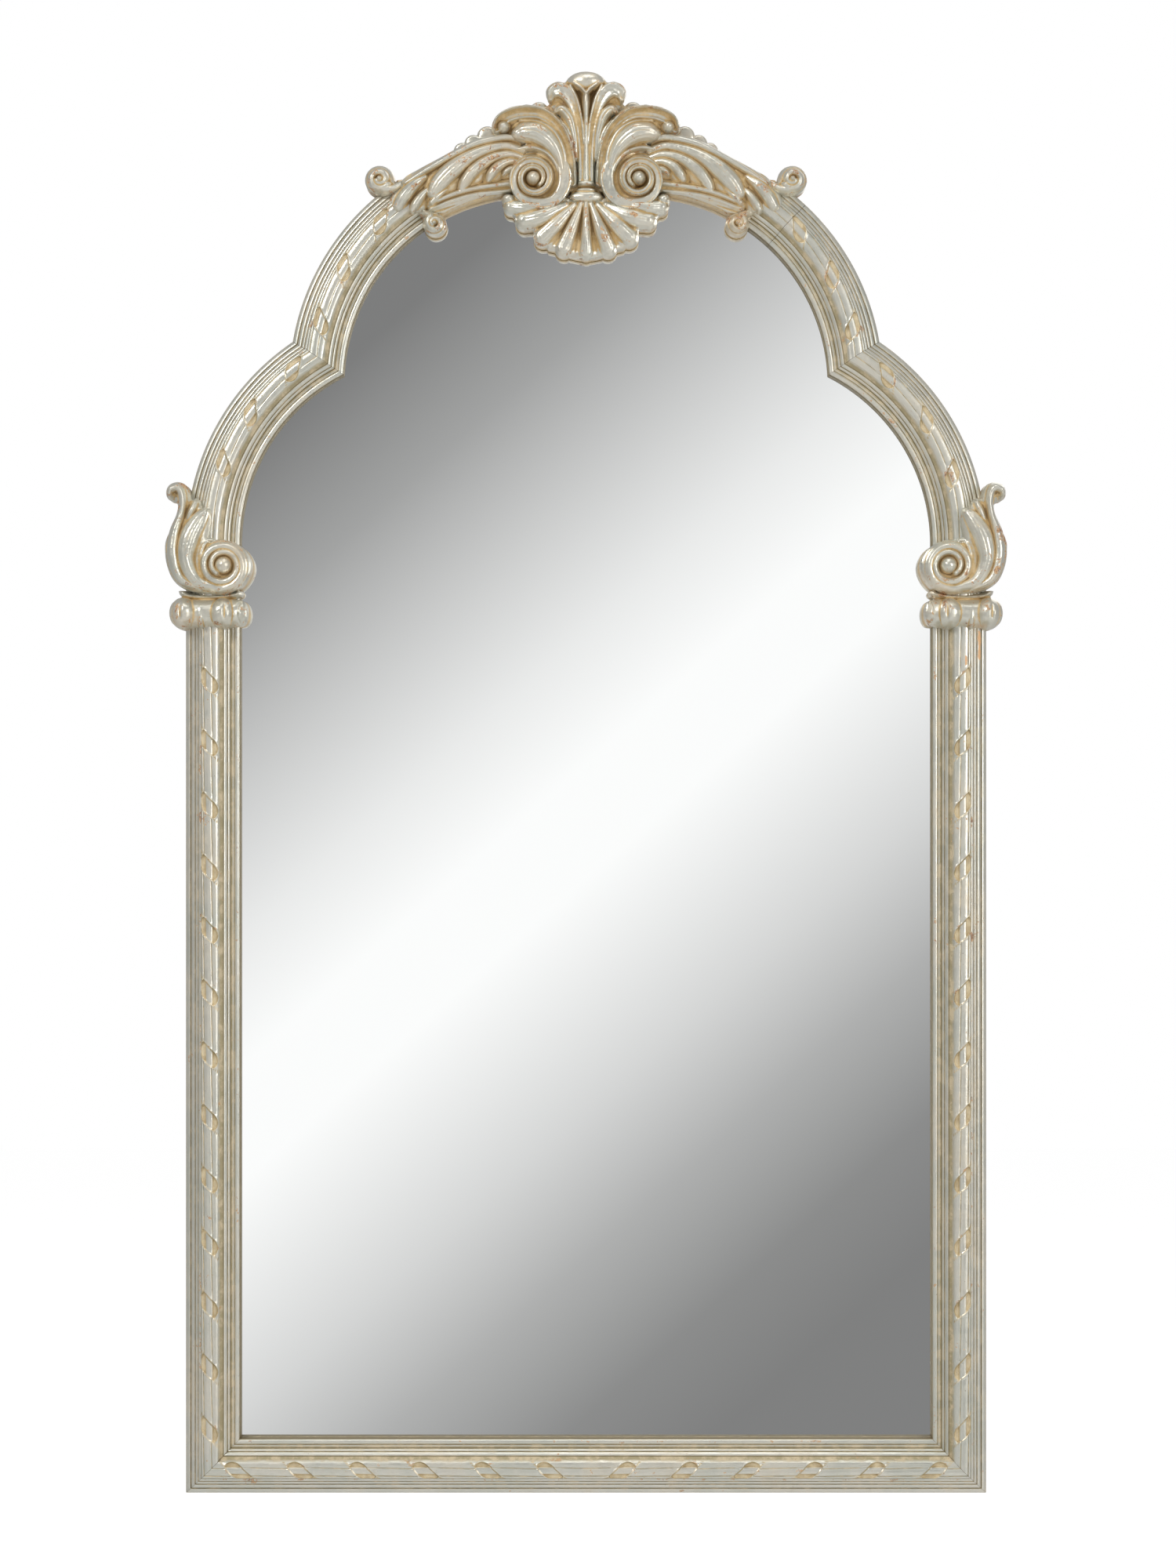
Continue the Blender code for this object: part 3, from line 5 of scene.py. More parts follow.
import bmesh
import bpy
import numpy as np
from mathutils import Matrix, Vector


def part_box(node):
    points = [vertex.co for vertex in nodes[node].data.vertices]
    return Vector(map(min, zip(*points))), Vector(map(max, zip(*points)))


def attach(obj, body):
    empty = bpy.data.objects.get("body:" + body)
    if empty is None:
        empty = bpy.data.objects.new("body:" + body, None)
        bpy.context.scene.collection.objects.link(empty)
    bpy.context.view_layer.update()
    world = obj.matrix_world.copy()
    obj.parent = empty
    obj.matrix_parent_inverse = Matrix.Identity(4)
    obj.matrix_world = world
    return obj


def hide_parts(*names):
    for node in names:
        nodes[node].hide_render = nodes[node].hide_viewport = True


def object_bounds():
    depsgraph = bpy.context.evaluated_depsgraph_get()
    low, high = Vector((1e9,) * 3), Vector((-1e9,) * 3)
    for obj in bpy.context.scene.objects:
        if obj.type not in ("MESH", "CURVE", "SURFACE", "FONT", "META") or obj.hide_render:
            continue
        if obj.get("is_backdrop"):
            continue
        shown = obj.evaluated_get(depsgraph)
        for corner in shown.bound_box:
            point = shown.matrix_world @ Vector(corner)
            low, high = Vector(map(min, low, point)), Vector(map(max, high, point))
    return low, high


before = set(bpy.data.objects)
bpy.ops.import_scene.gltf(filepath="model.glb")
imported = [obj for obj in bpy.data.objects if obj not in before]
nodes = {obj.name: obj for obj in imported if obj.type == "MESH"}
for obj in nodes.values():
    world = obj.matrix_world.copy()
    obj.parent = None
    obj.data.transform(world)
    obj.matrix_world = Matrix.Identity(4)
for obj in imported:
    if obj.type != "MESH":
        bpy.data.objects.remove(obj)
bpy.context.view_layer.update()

# Silvered finish. Limewood with gesso, a red-brown bole and leaves of silver laid over it, then
# an ochre glaze that was wiped off the high places and stays in the hollows. The bole shows
# where hands and dusters have rubbed the leaf away.


def new_group(name, inputs, outputs):
    """A shader node group. Inputs are (name, socket type, value) and outputs (name, type)."""
    group = bpy.data.node_groups.new(name, "ShaderNodeTree")
    for label, kind, value in inputs:
        socket = group.interface.new_socket(name=label, in_out="INPUT", socket_type=kind)
        if value is not None:
            socket.default_value = value
    for label, kind in outputs:
        group.interface.new_socket(name=label, in_out="OUTPUT", socket_type=kind)
    return group, group.nodes.new("NodeGroupInput"), group.nodes.new("NodeGroupOutput")


def join(tree, source, target):
    """Links a socket or sets a plain value."""
    if isinstance(source, bpy.types.NodeSocket):
        tree.links.new(source, target)
    else:
        target.default_value = source


def noise(tree, place, scale, detail, rough=0.55, stretch=(1, 1, 1)):
    """Smooth noise from 0 to 1 over the piece's own place in metres."""
    scaled = tree.nodes.new("ShaderNodeVectorMath")
    scaled.operation = "MULTIPLY"
    join(tree, place, scaled.inputs[0])
    scaled.inputs[1].default_value = stretch
    made = tree.nodes.new("ShaderNodeTexNoise")
    made.inputs["Scale"].default_value = scale
    made.inputs["Detail"].default_value = detail
    made.inputs["Roughness"].default_value = rough
    tree.links.new(scaled.outputs[0], made.inputs["Vector"])
    return made.outputs["Fac"]


def own_place(tree):
    """The piece's own place in metres."""
    return tree.nodes.new("ShaderNodeTexCoord").outputs["Object"]


def stepped(tree, value, low, high, to_low=0.0, to_high=1.0):
    """A smooth step from one value to another."""
    node = tree.nodes.new("ShaderNodeMapRange")
    node.interpolation_type = "SMOOTHSTEP"
    join(tree, value, node.inputs["Value"])
    for label, number in (("From Min", low), ("From Max", high)):
        join(tree, number, node.inputs[label])
    node.inputs["To Min"].default_value = to_low
    node.inputs["To Max"].default_value = to_high
    return node.outputs["Result"]


def reckon(tree, operation, first, second, clamp=False):
    node = tree.nodes.new("ShaderNodeMath")
    node.operation = operation
    node.use_clamp = clamp
    join(tree, first, node.inputs[0])
    join(tree, second, node.inputs[1])
    return node.outputs[0]


def blended(tree, share, first, second):
    """A mix of two colours."""
    node = tree.nodes.new("ShaderNodeMix")
    node.data_type = "RGBA"
    join(tree, share, node.inputs["Factor"])
    for colour, label in ((first, 6), (second, 7)):
        join(tree, (*colour, 1.0) if isinstance(colour, tuple) else colour, node.inputs[label])
    return node.outputs[2]


COOL_SILVER, WARM_SILVER = (0.60, 0.62, 0.565), (0.73, 0.72, 0.655)
DULL_SILVER = (0.47, 0.46, 0.39)
GLAZED_SILVER = (0.86, 0.76, 0.58)
DARK_GILT, PALE_GILT = (0.60, 0.45, 0.23), (0.82, 0.68, 0.43)
DARK_BOLE, PALE_BOLE = (0.27, 0.115, 0.055), (0.64, 0.41, 0.22)
BARE_LIMEWOOD = (0.87, 0.53, 0.28)
FLY_SPECK = (0.20, 0.13, 0.075)


def silvering_group():
    """Colour, metal, roughness and height of the silvered finish."""
    tree, given, put = new_group(
        "silver leaf and glaze",
        [
            ("Place", "NodeSocketVector", None),
            ("Hollow", "NodeSocketFloat", 0.0),
            ("Rub", "NodeSocketFloat", 0.0),
            ("Gold", "NodeSocketFloat", 0.0),
            ("Bare", "NodeSocketFloat", 0.0),
            ("Glaze", "NodeSocketFloat", 0.5),
            ("Wear", "NodeSocketFloat", 0.5),
            ("Thick", "NodeSocketColor", (0.60, 0.43, 0.21, 1)),
            ("Thin", "NodeSocketColor", (0.76, 0.60, 0.36, 1)),
            ("Deep", "NodeSocketColor", (0.33, 0.225, 0.11, 1)),
        ],
        [
            ("Colour", "NodeSocketColor"),
            ("Metal", "NodeSocketFloat"),
            ("Roughness", "NodeSocketFloat"),
            ("Height", "NodeSocketFloat"),
        ],
    )
    place = given.outputs["Place"]
    cloud = noise(tree, place, 16.0, 4.0, 0.6)
    mottle = noise(tree, place, 90.0, 4.0, 0.65)
    fleck = noise(tree, place, 420.0, 3.0, 0.6)
    # Leaf: cool grey-green to warm white silver
    leaf = blended(tree, stepped(tree, cloud, 0.38, 0.64), COOL_SILVER, WARM_SILVER)
    leaf = blended(tree, stepped(tree, mottle, 0.52, 0.80, 0, 0.30), leaf, DULL_SILVER)
    warm = reckon(tree, "MULTIPLY", given.outputs["Glaze"], stepped(tree, mottle, 0.3, 0.7, 0.28, 0.48))
    leaf = blended(tree, warm, leaf, GLAZED_SILVER)
    # Glaze lies in the hollows and in thin clouds over the leaf
    lie = reckon(tree, "MULTIPLY", reckon(tree, "SUBTRACT", mottle, 0.5), 0.5)
    lie = reckon(tree, "ADD", given.outputs["Hollow"], lie)
    lie = stepped(tree, lie, 0.10, 0.52)
    haze = reckon(tree, "MULTIPLY", stepped(tree, cloud, 0.50, 0.74), given.outputs["Glaze"])
    glaze = reckon(tree, "MAXIMUM", lie, reckon(tree, "MULTIPLY", haze, 0.5), clamp=True)
    ochre = blended(tree, stepped(tree, mottle, 0.4, 0.66), given.outputs["Thick"], given.outputs["Thin"])
    # The Deep colour goes where Hollow is highest. On the ribbon this includes the painted shade line
    # along one side of each window.
    ochre = blended(tree, stepped(tree, given.outputs["Hollow"], 0.82, 1.0), ochre, given.outputs["Deep"])
    colour = blended(tree, glaze, leaf, ochre)
    # Gilt goes where the Gold mark is. On the ribbon this includes a painted highlight line along one side
    # of each window.
    gold = blended(tree, stepped(tree, mottle, 0.35, 0.65), DARK_GILT, PALE_GILT)
    colour = blended(tree, given.outputs["Gold"], colour, gold)
    # Rubbed places, where dark and pale bole show
    patch = noise(tree, place, 52.0, 5.0, 0.72)
    torn = reckon(tree, "ADD", patch, reckon(tree, "MULTIPLY", reckon(tree, "SUBTRACT", fleck, 0.5), 0.35))
    torn = reckon(tree, "ADD", torn, reckon(tree, "MULTIPLY", given.outputs["Rub"], 0.13))
    rubbed = stepped(tree, torn, 0.70, 0.74)
    rubbed = reckon(tree, "MULTIPLY", rubbed, given.outputs["Wear"], clamp=True)
    bole = blended(tree, stepped(tree, fleck, 0.42, 0.58), DARK_BOLE, PALE_BOLE)
    colour = blended(tree, rubbed, colour, bole)
    # Places where leaf, bole and gesso are gone and the pale wood shows
    flaked = reckon(tree, "ADD", given.outputs["Bare"], reckon(tree, "SUBTRACT", mottle, 0.5))
    flaked = stepped(tree, flaked, 0.52, 0.60)
    colour = blended(tree, flaked, colour, BARE_LIMEWOOD)
    rubbed = reckon(tree, "MAXIMUM", rubbed, flaked)
    specks = stepped(tree, fleck, 0.69, 0.75, 0, 0.5)
    colour = blended(tree, specks, colour, FLY_SPECK)
    join(tree, colour, put.inputs["Colour"])
    bare = reckon(tree, "MAXIMUM", reckon(tree, "MULTIPLY", glaze, 0.75), rubbed)
    bare = reckon(tree, "MAXIMUM", bare, reckon(tree, "MULTIPLY", given.outputs["Gold"], 0.7))
    metal = stepped(tree, reckon(tree, "MAXIMUM", bare, specks), 0.0, 1.0, 0.78, 0.05)
    join(tree, metal, put.inputs["Metal"])
    rough = reckon(tree, "MULTIPLY", glaze, 0.16)
    rough = reckon(tree, "ADD", rough, stepped(tree, mottle, 0.3, 0.7, 0.31, 0.44))
    join(tree, reckon(tree, "ADD", rough, reckon(tree, "MULTIPLY", rubbed, 0.2)), put.inputs["Roughness"])
    height = reckon(tree, "MULTIPLY", reckon(tree, "SUBTRACT", mottle, rubbed), 0.4)
    height = reckon(tree, "ADD", height, reckon(tree, "MULTIPLY", fleck, 0.45))
    join(tree, height, put.inputs["Height"])
    return tree


SILVERING = silvering_group()


def plain_material(name):
    made = bpy.data.materials.new(name)
    made.use_nodes = True
    return made, made.node_tree, made.node_tree.nodes["Principled BSDF"]


def bumped(tree, shader, height, distance, strength):
    bump = tree.nodes.new("ShaderNodeBump")
    bump.inputs["Distance"].default_value = distance
    bump.inputs["Strength"].default_value = strength
    join(tree, height, bump.inputs["Height"])
    tree.links.new(bump.outputs["Normal"], shader.inputs["Normal"])


def silvered(name, glaze, wear, thick, thin, deep):
    """The finish with its own share of glaze and wear, and the colours of the glaze."""
    made, tree, shader = plain_material(name)
    group = tree.nodes.new("ShaderNodeGroup")
    group.node_tree = SILVERING
    join(tree, own_place(tree), group.inputs["Place"])
    for label, attribute in (("Hollow", "hollow"), ("Rub", "rub"), ("Gold", "gold"), ("Bare", "bare")):
        read = tree.nodes.new("ShaderNodeAttribute")
        read.attribute_name = attribute
        tree.links.new(read.outputs["Fac"], group.inputs[label])
    group.inputs["Glaze"].default_value = glaze
    group.inputs["Wear"].default_value = wear
    for label, tint in (("Thick", thick), ("Thin", thin), ("Deep", deep)):
        group.inputs[label].default_value = (*tint, 1)
    for label, socket in (("Colour", "Base Color"), ("Metal", "Metallic"), ("Roughness", "Roughness")):
        tree.links.new(group.outputs[label], shader.inputs[socket])
    bumped(tree, shader, group.outputs["Height"], 0.0005, 0.6)
    return made


# Glaze, wear, and the colours of thick, thin and deepest glaze
MOULDING_FINISH = silvered(
    "silvered moulding", 0.50, 0.85, (0.43, 0.36, 0.21), (0.70, 0.585, 0.39), (0.23, 0.185, 0.10)
)
CARVING_FINISH = silvered(
    "silvered carving", 0.75, 1.0, (0.56, 0.39, 0.17), (0.75, 0.575, 0.32), (0.33, 0.22, 0.10)
)

# Raw wood of the backs and of the edges of the rabbets: pale lime with a fine grain, planed and
# left without a finish, and darkened in places by damp.

WATER_STAIN = (0.16, 0.10, 0.05)


def wood_group():
    tree, given, put = new_group(
        "wood grain",
        [
            ("Place", "NodeSocketVector", None),
            ("Light", "NodeSocketColor", (0.52, 0.36, 0.20, 1)),
            ("Dark", "NodeSocketColor", (0.30, 0.18, 0.085, 1)),
        ],
        [("Colour", "NodeSocketColor"), ("Roughness", "NodeSocketFloat"), ("Height", "NodeSocketFloat")],
    )
    place = given.outputs["Place"]
    grain = noise(tree, place, 60.0, 5.0, 0.6, (1.0, 1.0, 0.06))
    pores = noise(tree, place, 420.0, 2.0, 0.6, (1.0, 1.0, 0.04))
    stain = noise(tree, place, 7.0, 3.0)
    share = reckon(tree, "ADD", stepped(tree, grain, 0.35, 0.68), stepped(tree, pores, 0.6, 0.75, 0, 0.4))
    colour = blended(tree, share, given.outputs["Light"], given.outputs["Dark"])
    colour = blended(tree, stepped(tree, stain, 0.5, 0.75, 0, 0.45), colour, WATER_STAIN)
    join(tree, colour, put.inputs["Colour"])
    join(tree, stepped(tree, grain, 0.3, 0.7, 0.62, 0.82), put.inputs["Roughness"])
    join(tree, reckon(tree, "ADD", grain, pores), put.inputs["Height"])
    return tree


WOOD = wood_group()


def wooden(name, light, dark):
    made, tree, shader = plain_material(name)
    group = tree.nodes.new("ShaderNodeGroup")
    group.node_tree = WOOD
    join(tree, own_place(tree), group.inputs["Place"])
    group.inputs["Light"].default_value = (*light, 1)
    group.inputs["Dark"].default_value = (*dark, 1)
    tree.links.new(group.outputs["Colour"], shader.inputs["Base Color"])
    tree.links.new(group.outputs["Roughness"], shader.inputs["Roughness"])
    bumped(tree, shader, group.outputs["Height"], 0.0003, 0.5)
    return made


RAW_WOOD = wooden("raw limewood", (0.50, 0.35, 0.20), (0.31, 0.19, 0.095))

# Reeded moulding: bottom rail and two stiles, mitred at the bottom corners and glued on dowels.
# It is run in long lengths with a scratch stock, and the ribbon wound on a rod is then cut by
# hand along its crown, with a window at each turn where the rod and two hollows show.

HALF_WIDTH = 0.372
BOTTOM_Z = -0.017
MOULDING_WIDTH = 0.050
STILE_JOINT_Z = 0.801
EDGE_HEIGHT = 0.022
CREST_LINE_HEIGHT = 0.0335
SIGHT_HEIGHT = 0.0225
GROOVE_HEIGHT = 0.02427
REED_WIDTHS = (0.0051, 0.0043, 0.0030, 0.0030)
RIBBON_START = 0.0154
RIBBON_END = 0.0316
INNER_REED_WIDTHS = (0.0040, 0.0036, 0.0026)
SIGHT_REED_START = 0.0448
RIBBON_MIDDLE = (RIBBON_START + RIBBON_END) / 2
RIBBON_RISE = 0.0027
GLASS_RABBET = (0.008, 0.0113)
BOARD_RABBET = (0.016, 0.006)
FACE_STEP = 0.00043
ALONG_STEP = 0.0022
WINDOW_STEP = 0.00045
WINDOW_PITCH = 0.0578
WINDOW_REACH = 0.0165
LAST_STILE_WINDOW = 0.76
FIRST_STILE_WINDOW = 0.0441
FIRST_RAIL_WINDOW = 0.0494
JOINT_GAP = 0.00015


def reed(u, start, width, rise):
    """Round reed: its height over a straight valley line."""
    share = np.clip((u - start) / width, 0, 1)
    return width * rise * (1 - np.abs(2 * share - 1) ** 2.4) ** 0.6


def face_height(u):
    """Height of the moulding's face at a distance from its outer edge, without the ribbon."""
    foot = np.interp(
        u,
        [0, RIBBON_START, RIBBON_END, RIBBON_END + sum(INNER_REED_WIDTHS), SIGHT_REED_START],
        [EDGE_HEIGHT, CREST_LINE_HEIGHT, CREST_LINE_HEIGHT, GROOVE_HEIGHT, GROOVE_HEIGHT],
    )
    foot = np.where(u > SIGHT_REED_START, SIGHT_HEIGHT, foot)
    height = foot.copy()
    start = 0.0
    for width in REED_WIDTHS:
        height += reed(u, start, width, 0.36)
        start += width
    start = RIBBON_END
    for width in INNER_REED_WIDTHS:
        height += reed(u, start, width, 0.36)
        start += width
    return height + reed(u, SIGHT_REED_START, MOULDING_WIDTH - SIGHT_REED_START, 0.48)


def smooth_line(points, steps, closed=False):
    """A smooth curve through rows of numbers."""
    rows = np.array(points, float)
    if closed:
        rows = np.concatenate([rows[-1:], rows, rows[:2]])
    else:
        rows = np.concatenate([2 * rows[:1] - rows[1:2], rows, 2 * rows[-1:] - rows[-2:-1]])
    made = []
    for before, here, there, after in zip(rows, rows[1:], rows[2:], rows[3:]):
        for t in np.arange(steps) / steps:
            slope = (there - before) * t
            bend = (2 * before - 5 * here + 4 * there - after) * t**2
            twist = (3 * here - before - 3 * there + after) * t**3
            made.append((2 * here + slope + bend + twist) / 2)
    return np.array(made if closed else [*made, rows[-2]])


def depth_in(outline, x, z):
    """How far inside a closed outline each place lies, in metres, and below zero outside it."""
    line = np.asarray(outline, float)
    best = np.full(x.shape, 1e9)
    inside = np.zeros(x.shape, bool)
    for (ax, az), (bx, bz) in zip(line, np.roll(line, -1, axis=0)):
        dx, dz = bx - ax, bz - az
        t = np.clip(((x - ax) * dx + (z - az) * dz) / max(dx * dx + dz * dz, 1e-18), 0, 1)
        best = np.minimum(best, (x - ax - t * dx) ** 2 + (z - az - t * dz) ** 2)
        if az != bz:
            inside ^= ((az > z) != (bz > z)) & (x < dx * (z - az) / dz + ax)
    return np.where(inside, 1, -1) * np.sqrt(best)


# Outline of a window in the ribbon: distance across it and along it, in millimetres
WINDOW = smooth_line([
    (-6.3, 12.0), (-7.7, 9.1), (-8.1, 5.2), (-7.8, 1.0), (-6.5, -2.8), (-3.7, -6.8), (-0.6, -9.4),
    (3.0, -11.7), (5.3, -10.9), (6.8, -7.8), (7.1, -4.2), (6.1, -0.8), (4.1, 2.1), (0.9, 5.0),
    (-2.2, 8.5), (-4.5, 10.9),
], 4, closed=True) / 1000

# The two edges run on as thin creases: from and to, in millimetres
WINDOW_TAILS = np.array([[(-6.0, 12.0), (-8.2, 16.2)], [(2.4, -11.6), (7.9, -16.2)]]) / 1000
RIBBON_HALF_WIDTH = 0.0083
STRAND_RISE = 0.0007
STRAND_EDGE = 0.0081
ROD_MIDDLE = -0.0006
ROD_HALF_WIDTH = 0.0037
ROD_BED = 0.0005
ROD_RISE = 0.0023


def ribbon(across, along, windows):
    """Height of the wound ribbon over the crest line, and how hollow, gilt and raised it is. The hollow
    marks also hold a painted shade line along one side of each window (its upper side on the stiles), and
    the gilt marks hold a painted highlight line along the other side.
    """
    nearest = np.argmin(np.abs(along[..., None] - np.array(windows)), axis=-1)
    s = along - np.array(windows)[nearest]
    # Three strands, whose grooves drift inward on their way down to the next window
    turn = np.clip(2 * s / WINDOW_PITCH - np.sign(s), -1, 1)
    fade = np.clip(np.abs(s) / 0.004 - 2.5, 0, 1)
    first, second = -0.0056 - 0.0005 * turn, 0.0018 - 0.0008 * turn
    height = np.sqrt(np.clip(1 - (across / RIBBON_HALF_WIDTH) ** 2, 0, 1)) * RIBBON_RISE
    for low, high in ((-STRAND_EDGE, first), (first, second), (second, STRAND_EDGE)):
        share = (2 * across - low - high) / (high - low)
        height += STRAND_RISE * np.clip(1 - share**2, 0, 1) ** 0.7
    inside = np.full(across.shape, -0.01)
    near = np.abs(s) < 0.018
    inside[near] = depth_in(WINDOW, across[near], s[near])
    crease = np.zeros(across.shape)
    for start, end in WINDOW_TAILS:
        run = end - start
        share = np.clip(((across - start[0]) * run[0] + (s - start[1]) * run[1]) / (run @ run), 0, 1)
        away = np.hypot(across - start[0] - share * run[0], s - start[1] - share * run[1])
        crease = np.maximum(crease, np.exp(-((away / 0.0005) ** 2)))
    grooves = sum(np.exp(-(((across - place) / 0.0004) ** 2)) for place in (first, second))
    height = height - 0.0004 * grooves - 0.0004 * crease
    cut = np.clip((inside + 0.0002) / 0.0009, 0, 1)
    cut = cut * cut * (3 - 2 * cut)
    beside = np.clip(np.abs(across - ROD_MIDDLE) / ROD_HALF_WIDTH, 0, 1)
    rod = ROD_BED + ROD_RISE * np.sqrt(1 - beside**2)
    rim = np.exp(-(((inside + 0.0007) / 0.0006) ** 2))
    height = (height + 0.0004 * rim) * (1 - cut) + rod * cut
    # Thin line round the edge of each window. Where lower is small (the upper side on the stiles) it is
    # painted shade, put in the hollow marks as dark glaze. Where lower is near 1 it is a painted
    # highlight, put in the gilt marks.
    line = np.exp(-(((inside + 0.0001) / 0.0005) ** 2))
    lower = 1 / (1 + np.exp(-np.clip((0.7 * s + across + 0.0008) / -0.0008, -30, 30)))
    # Gilt in the hollows beside the rod is real gilding. The line terms take gilt out under the painted
    # shade and add a painted highlight line on the lower side.
    gold = cut * np.clip(3.0 * beside - 1.9, 0, 1) * (1 - 0.8 * line * (1 - lower))
    gold = np.clip(gold + 0.8 * line * lower, 0, 1)
    gold = np.maximum(gold, 0.7 * crease * (1 - cut))
    # Hollow holds real glaze in the strand grooves, creases and window, plus the painted shade line along
    # the window's upper side.
    hollow = 0.35 * grooves * (1 - cut) * fade + 1.0 * line * (1 - lower) + 0.5 * crease
    return height, np.clip(hollow, 0, 1), gold * 0.8, rim * (1 - cut)


def blurred(grid, reach):
    """A grid smoothed by a bell curve; reach is its width in cells along each axis."""
    for axis, width in enumerate(reach):
        if width < 0.3:
            continue
        count = int(math.ceil(width * 2.6))
        weights = np.exp(-0.5 * (np.arange(-count, count + 1) / width) ** 2)
        weights /= weights.sum()
        padded = np.pad(grid, [(count, count) if a == axis else (0, 0) for a in (0, 1)], mode="edge")
        total = 0
        for k, weight in enumerate(weights):
            piece = [slice(None), slice(None)]
            piece[axis] = slice(k, k + grid.shape[axis])
            total = total + weight * padded[tuple(piece)]
        grid = total
    return grid


NEAR_REACH = 0.0007
FAR_REACH = 0.0030


def hollow_and_rub(height, cells):
    """Where glaze gathers and where the leaf rubs off, from 0 to 1, read from the relief."""
    near = blurred(height, [NEAR_REACH / c for c in cells])
    far = blurred(height, [FAR_REACH / c for c in cells])
    hollow = 0.78 * (1 - np.exp(-np.maximum(near - height, 0) / 0.0003))
    hollow += 0.58 * (1 - np.exp(-np.maximum(far - height, 0) / 0.0013))
    rub = np.clip((height - far) / 0.0011, 0, 1)
    return np.clip(hollow, 0, 1), rub


EDGE_GLAZE = 0.55


def mesh_piece(name, places, faces, materials, marks, face_slots=None):
    """A smooth-shaded piece from lists of places and faces."""
    mesh = bpy.data.meshes.new(name)
    mesh.from_pydata(np.asarray(places).tolist(), [], [list(f) for f in faces])
    for material in materials:
        mesh.materials.append(material)
    if face_slots is not None:
        mesh.polygons.foreach_set("material_index", np.asarray(face_slots, dtype=np.int32))
    for label, values in marks.items():
        kept = mesh.attributes.new(label, "FLOAT", "POINT")
        kept.data.foreach_set("value", np.asarray(values, dtype=np.float32).ravel())
    mesh.shade_smooth()
    piece = bpy.data.objects.new(name, mesh)
    bpy.context.scene.collection.objects.link(piece)
    return piece


def sharpened(piece, degrees):
    piece.data.set_sharp_from_angle(angle=math.radians(degrees))
    return piece


REED_EDGES = np.concatenate([
    np.cumsum([0, *REED_WIDTHS]), RIBBON_END + np.cumsum(INNER_REED_WIDTHS),
    [SIGHT_REED_START, MOULDING_WIDTH],
])
REED_SHARES = np.array([0, 0.07, 0.2, 0.38, 0.62, 0.8, 0.93])
FACE_U = np.unique(np.round(np.concatenate([
    *[a + (b - a) * REED_SHARES for a, b in zip(REED_EDGES, REED_EDGES[1:]) if a != REED_EDGES[4]],
    np.linspace(RIBBON_START, RIBBON_END, int(round((RIBBON_END - RIBBON_START) / FACE_STEP)) + 1),
    [MOULDING_WIDTH],
]), 6))
EVEN_U = np.linspace(0, MOULDING_WIDTH, 201)
BACK_POINTS = [
    (MOULDING_WIDTH, GLASS_RABBET[1]),
    (MOULDING_WIDTH - GLASS_RABBET[0], GLASS_RABBET[1]),
    (MOULDING_WIDTH - GLASS_RABBET[0], BOARD_RABBET[1]),
    (MOULDING_WIDTH - BOARD_RABBET[0], BOARD_RABBET[1]),
    (MOULDING_WIDTH - BOARD_RABBET[0], 0.0),
    (0.0, 0.0),
]
SECTION_U = np.array([*FACE_U, *[u for u, h in BACK_POINTS]])
SECTION_COUNT = len(SECTION_U)


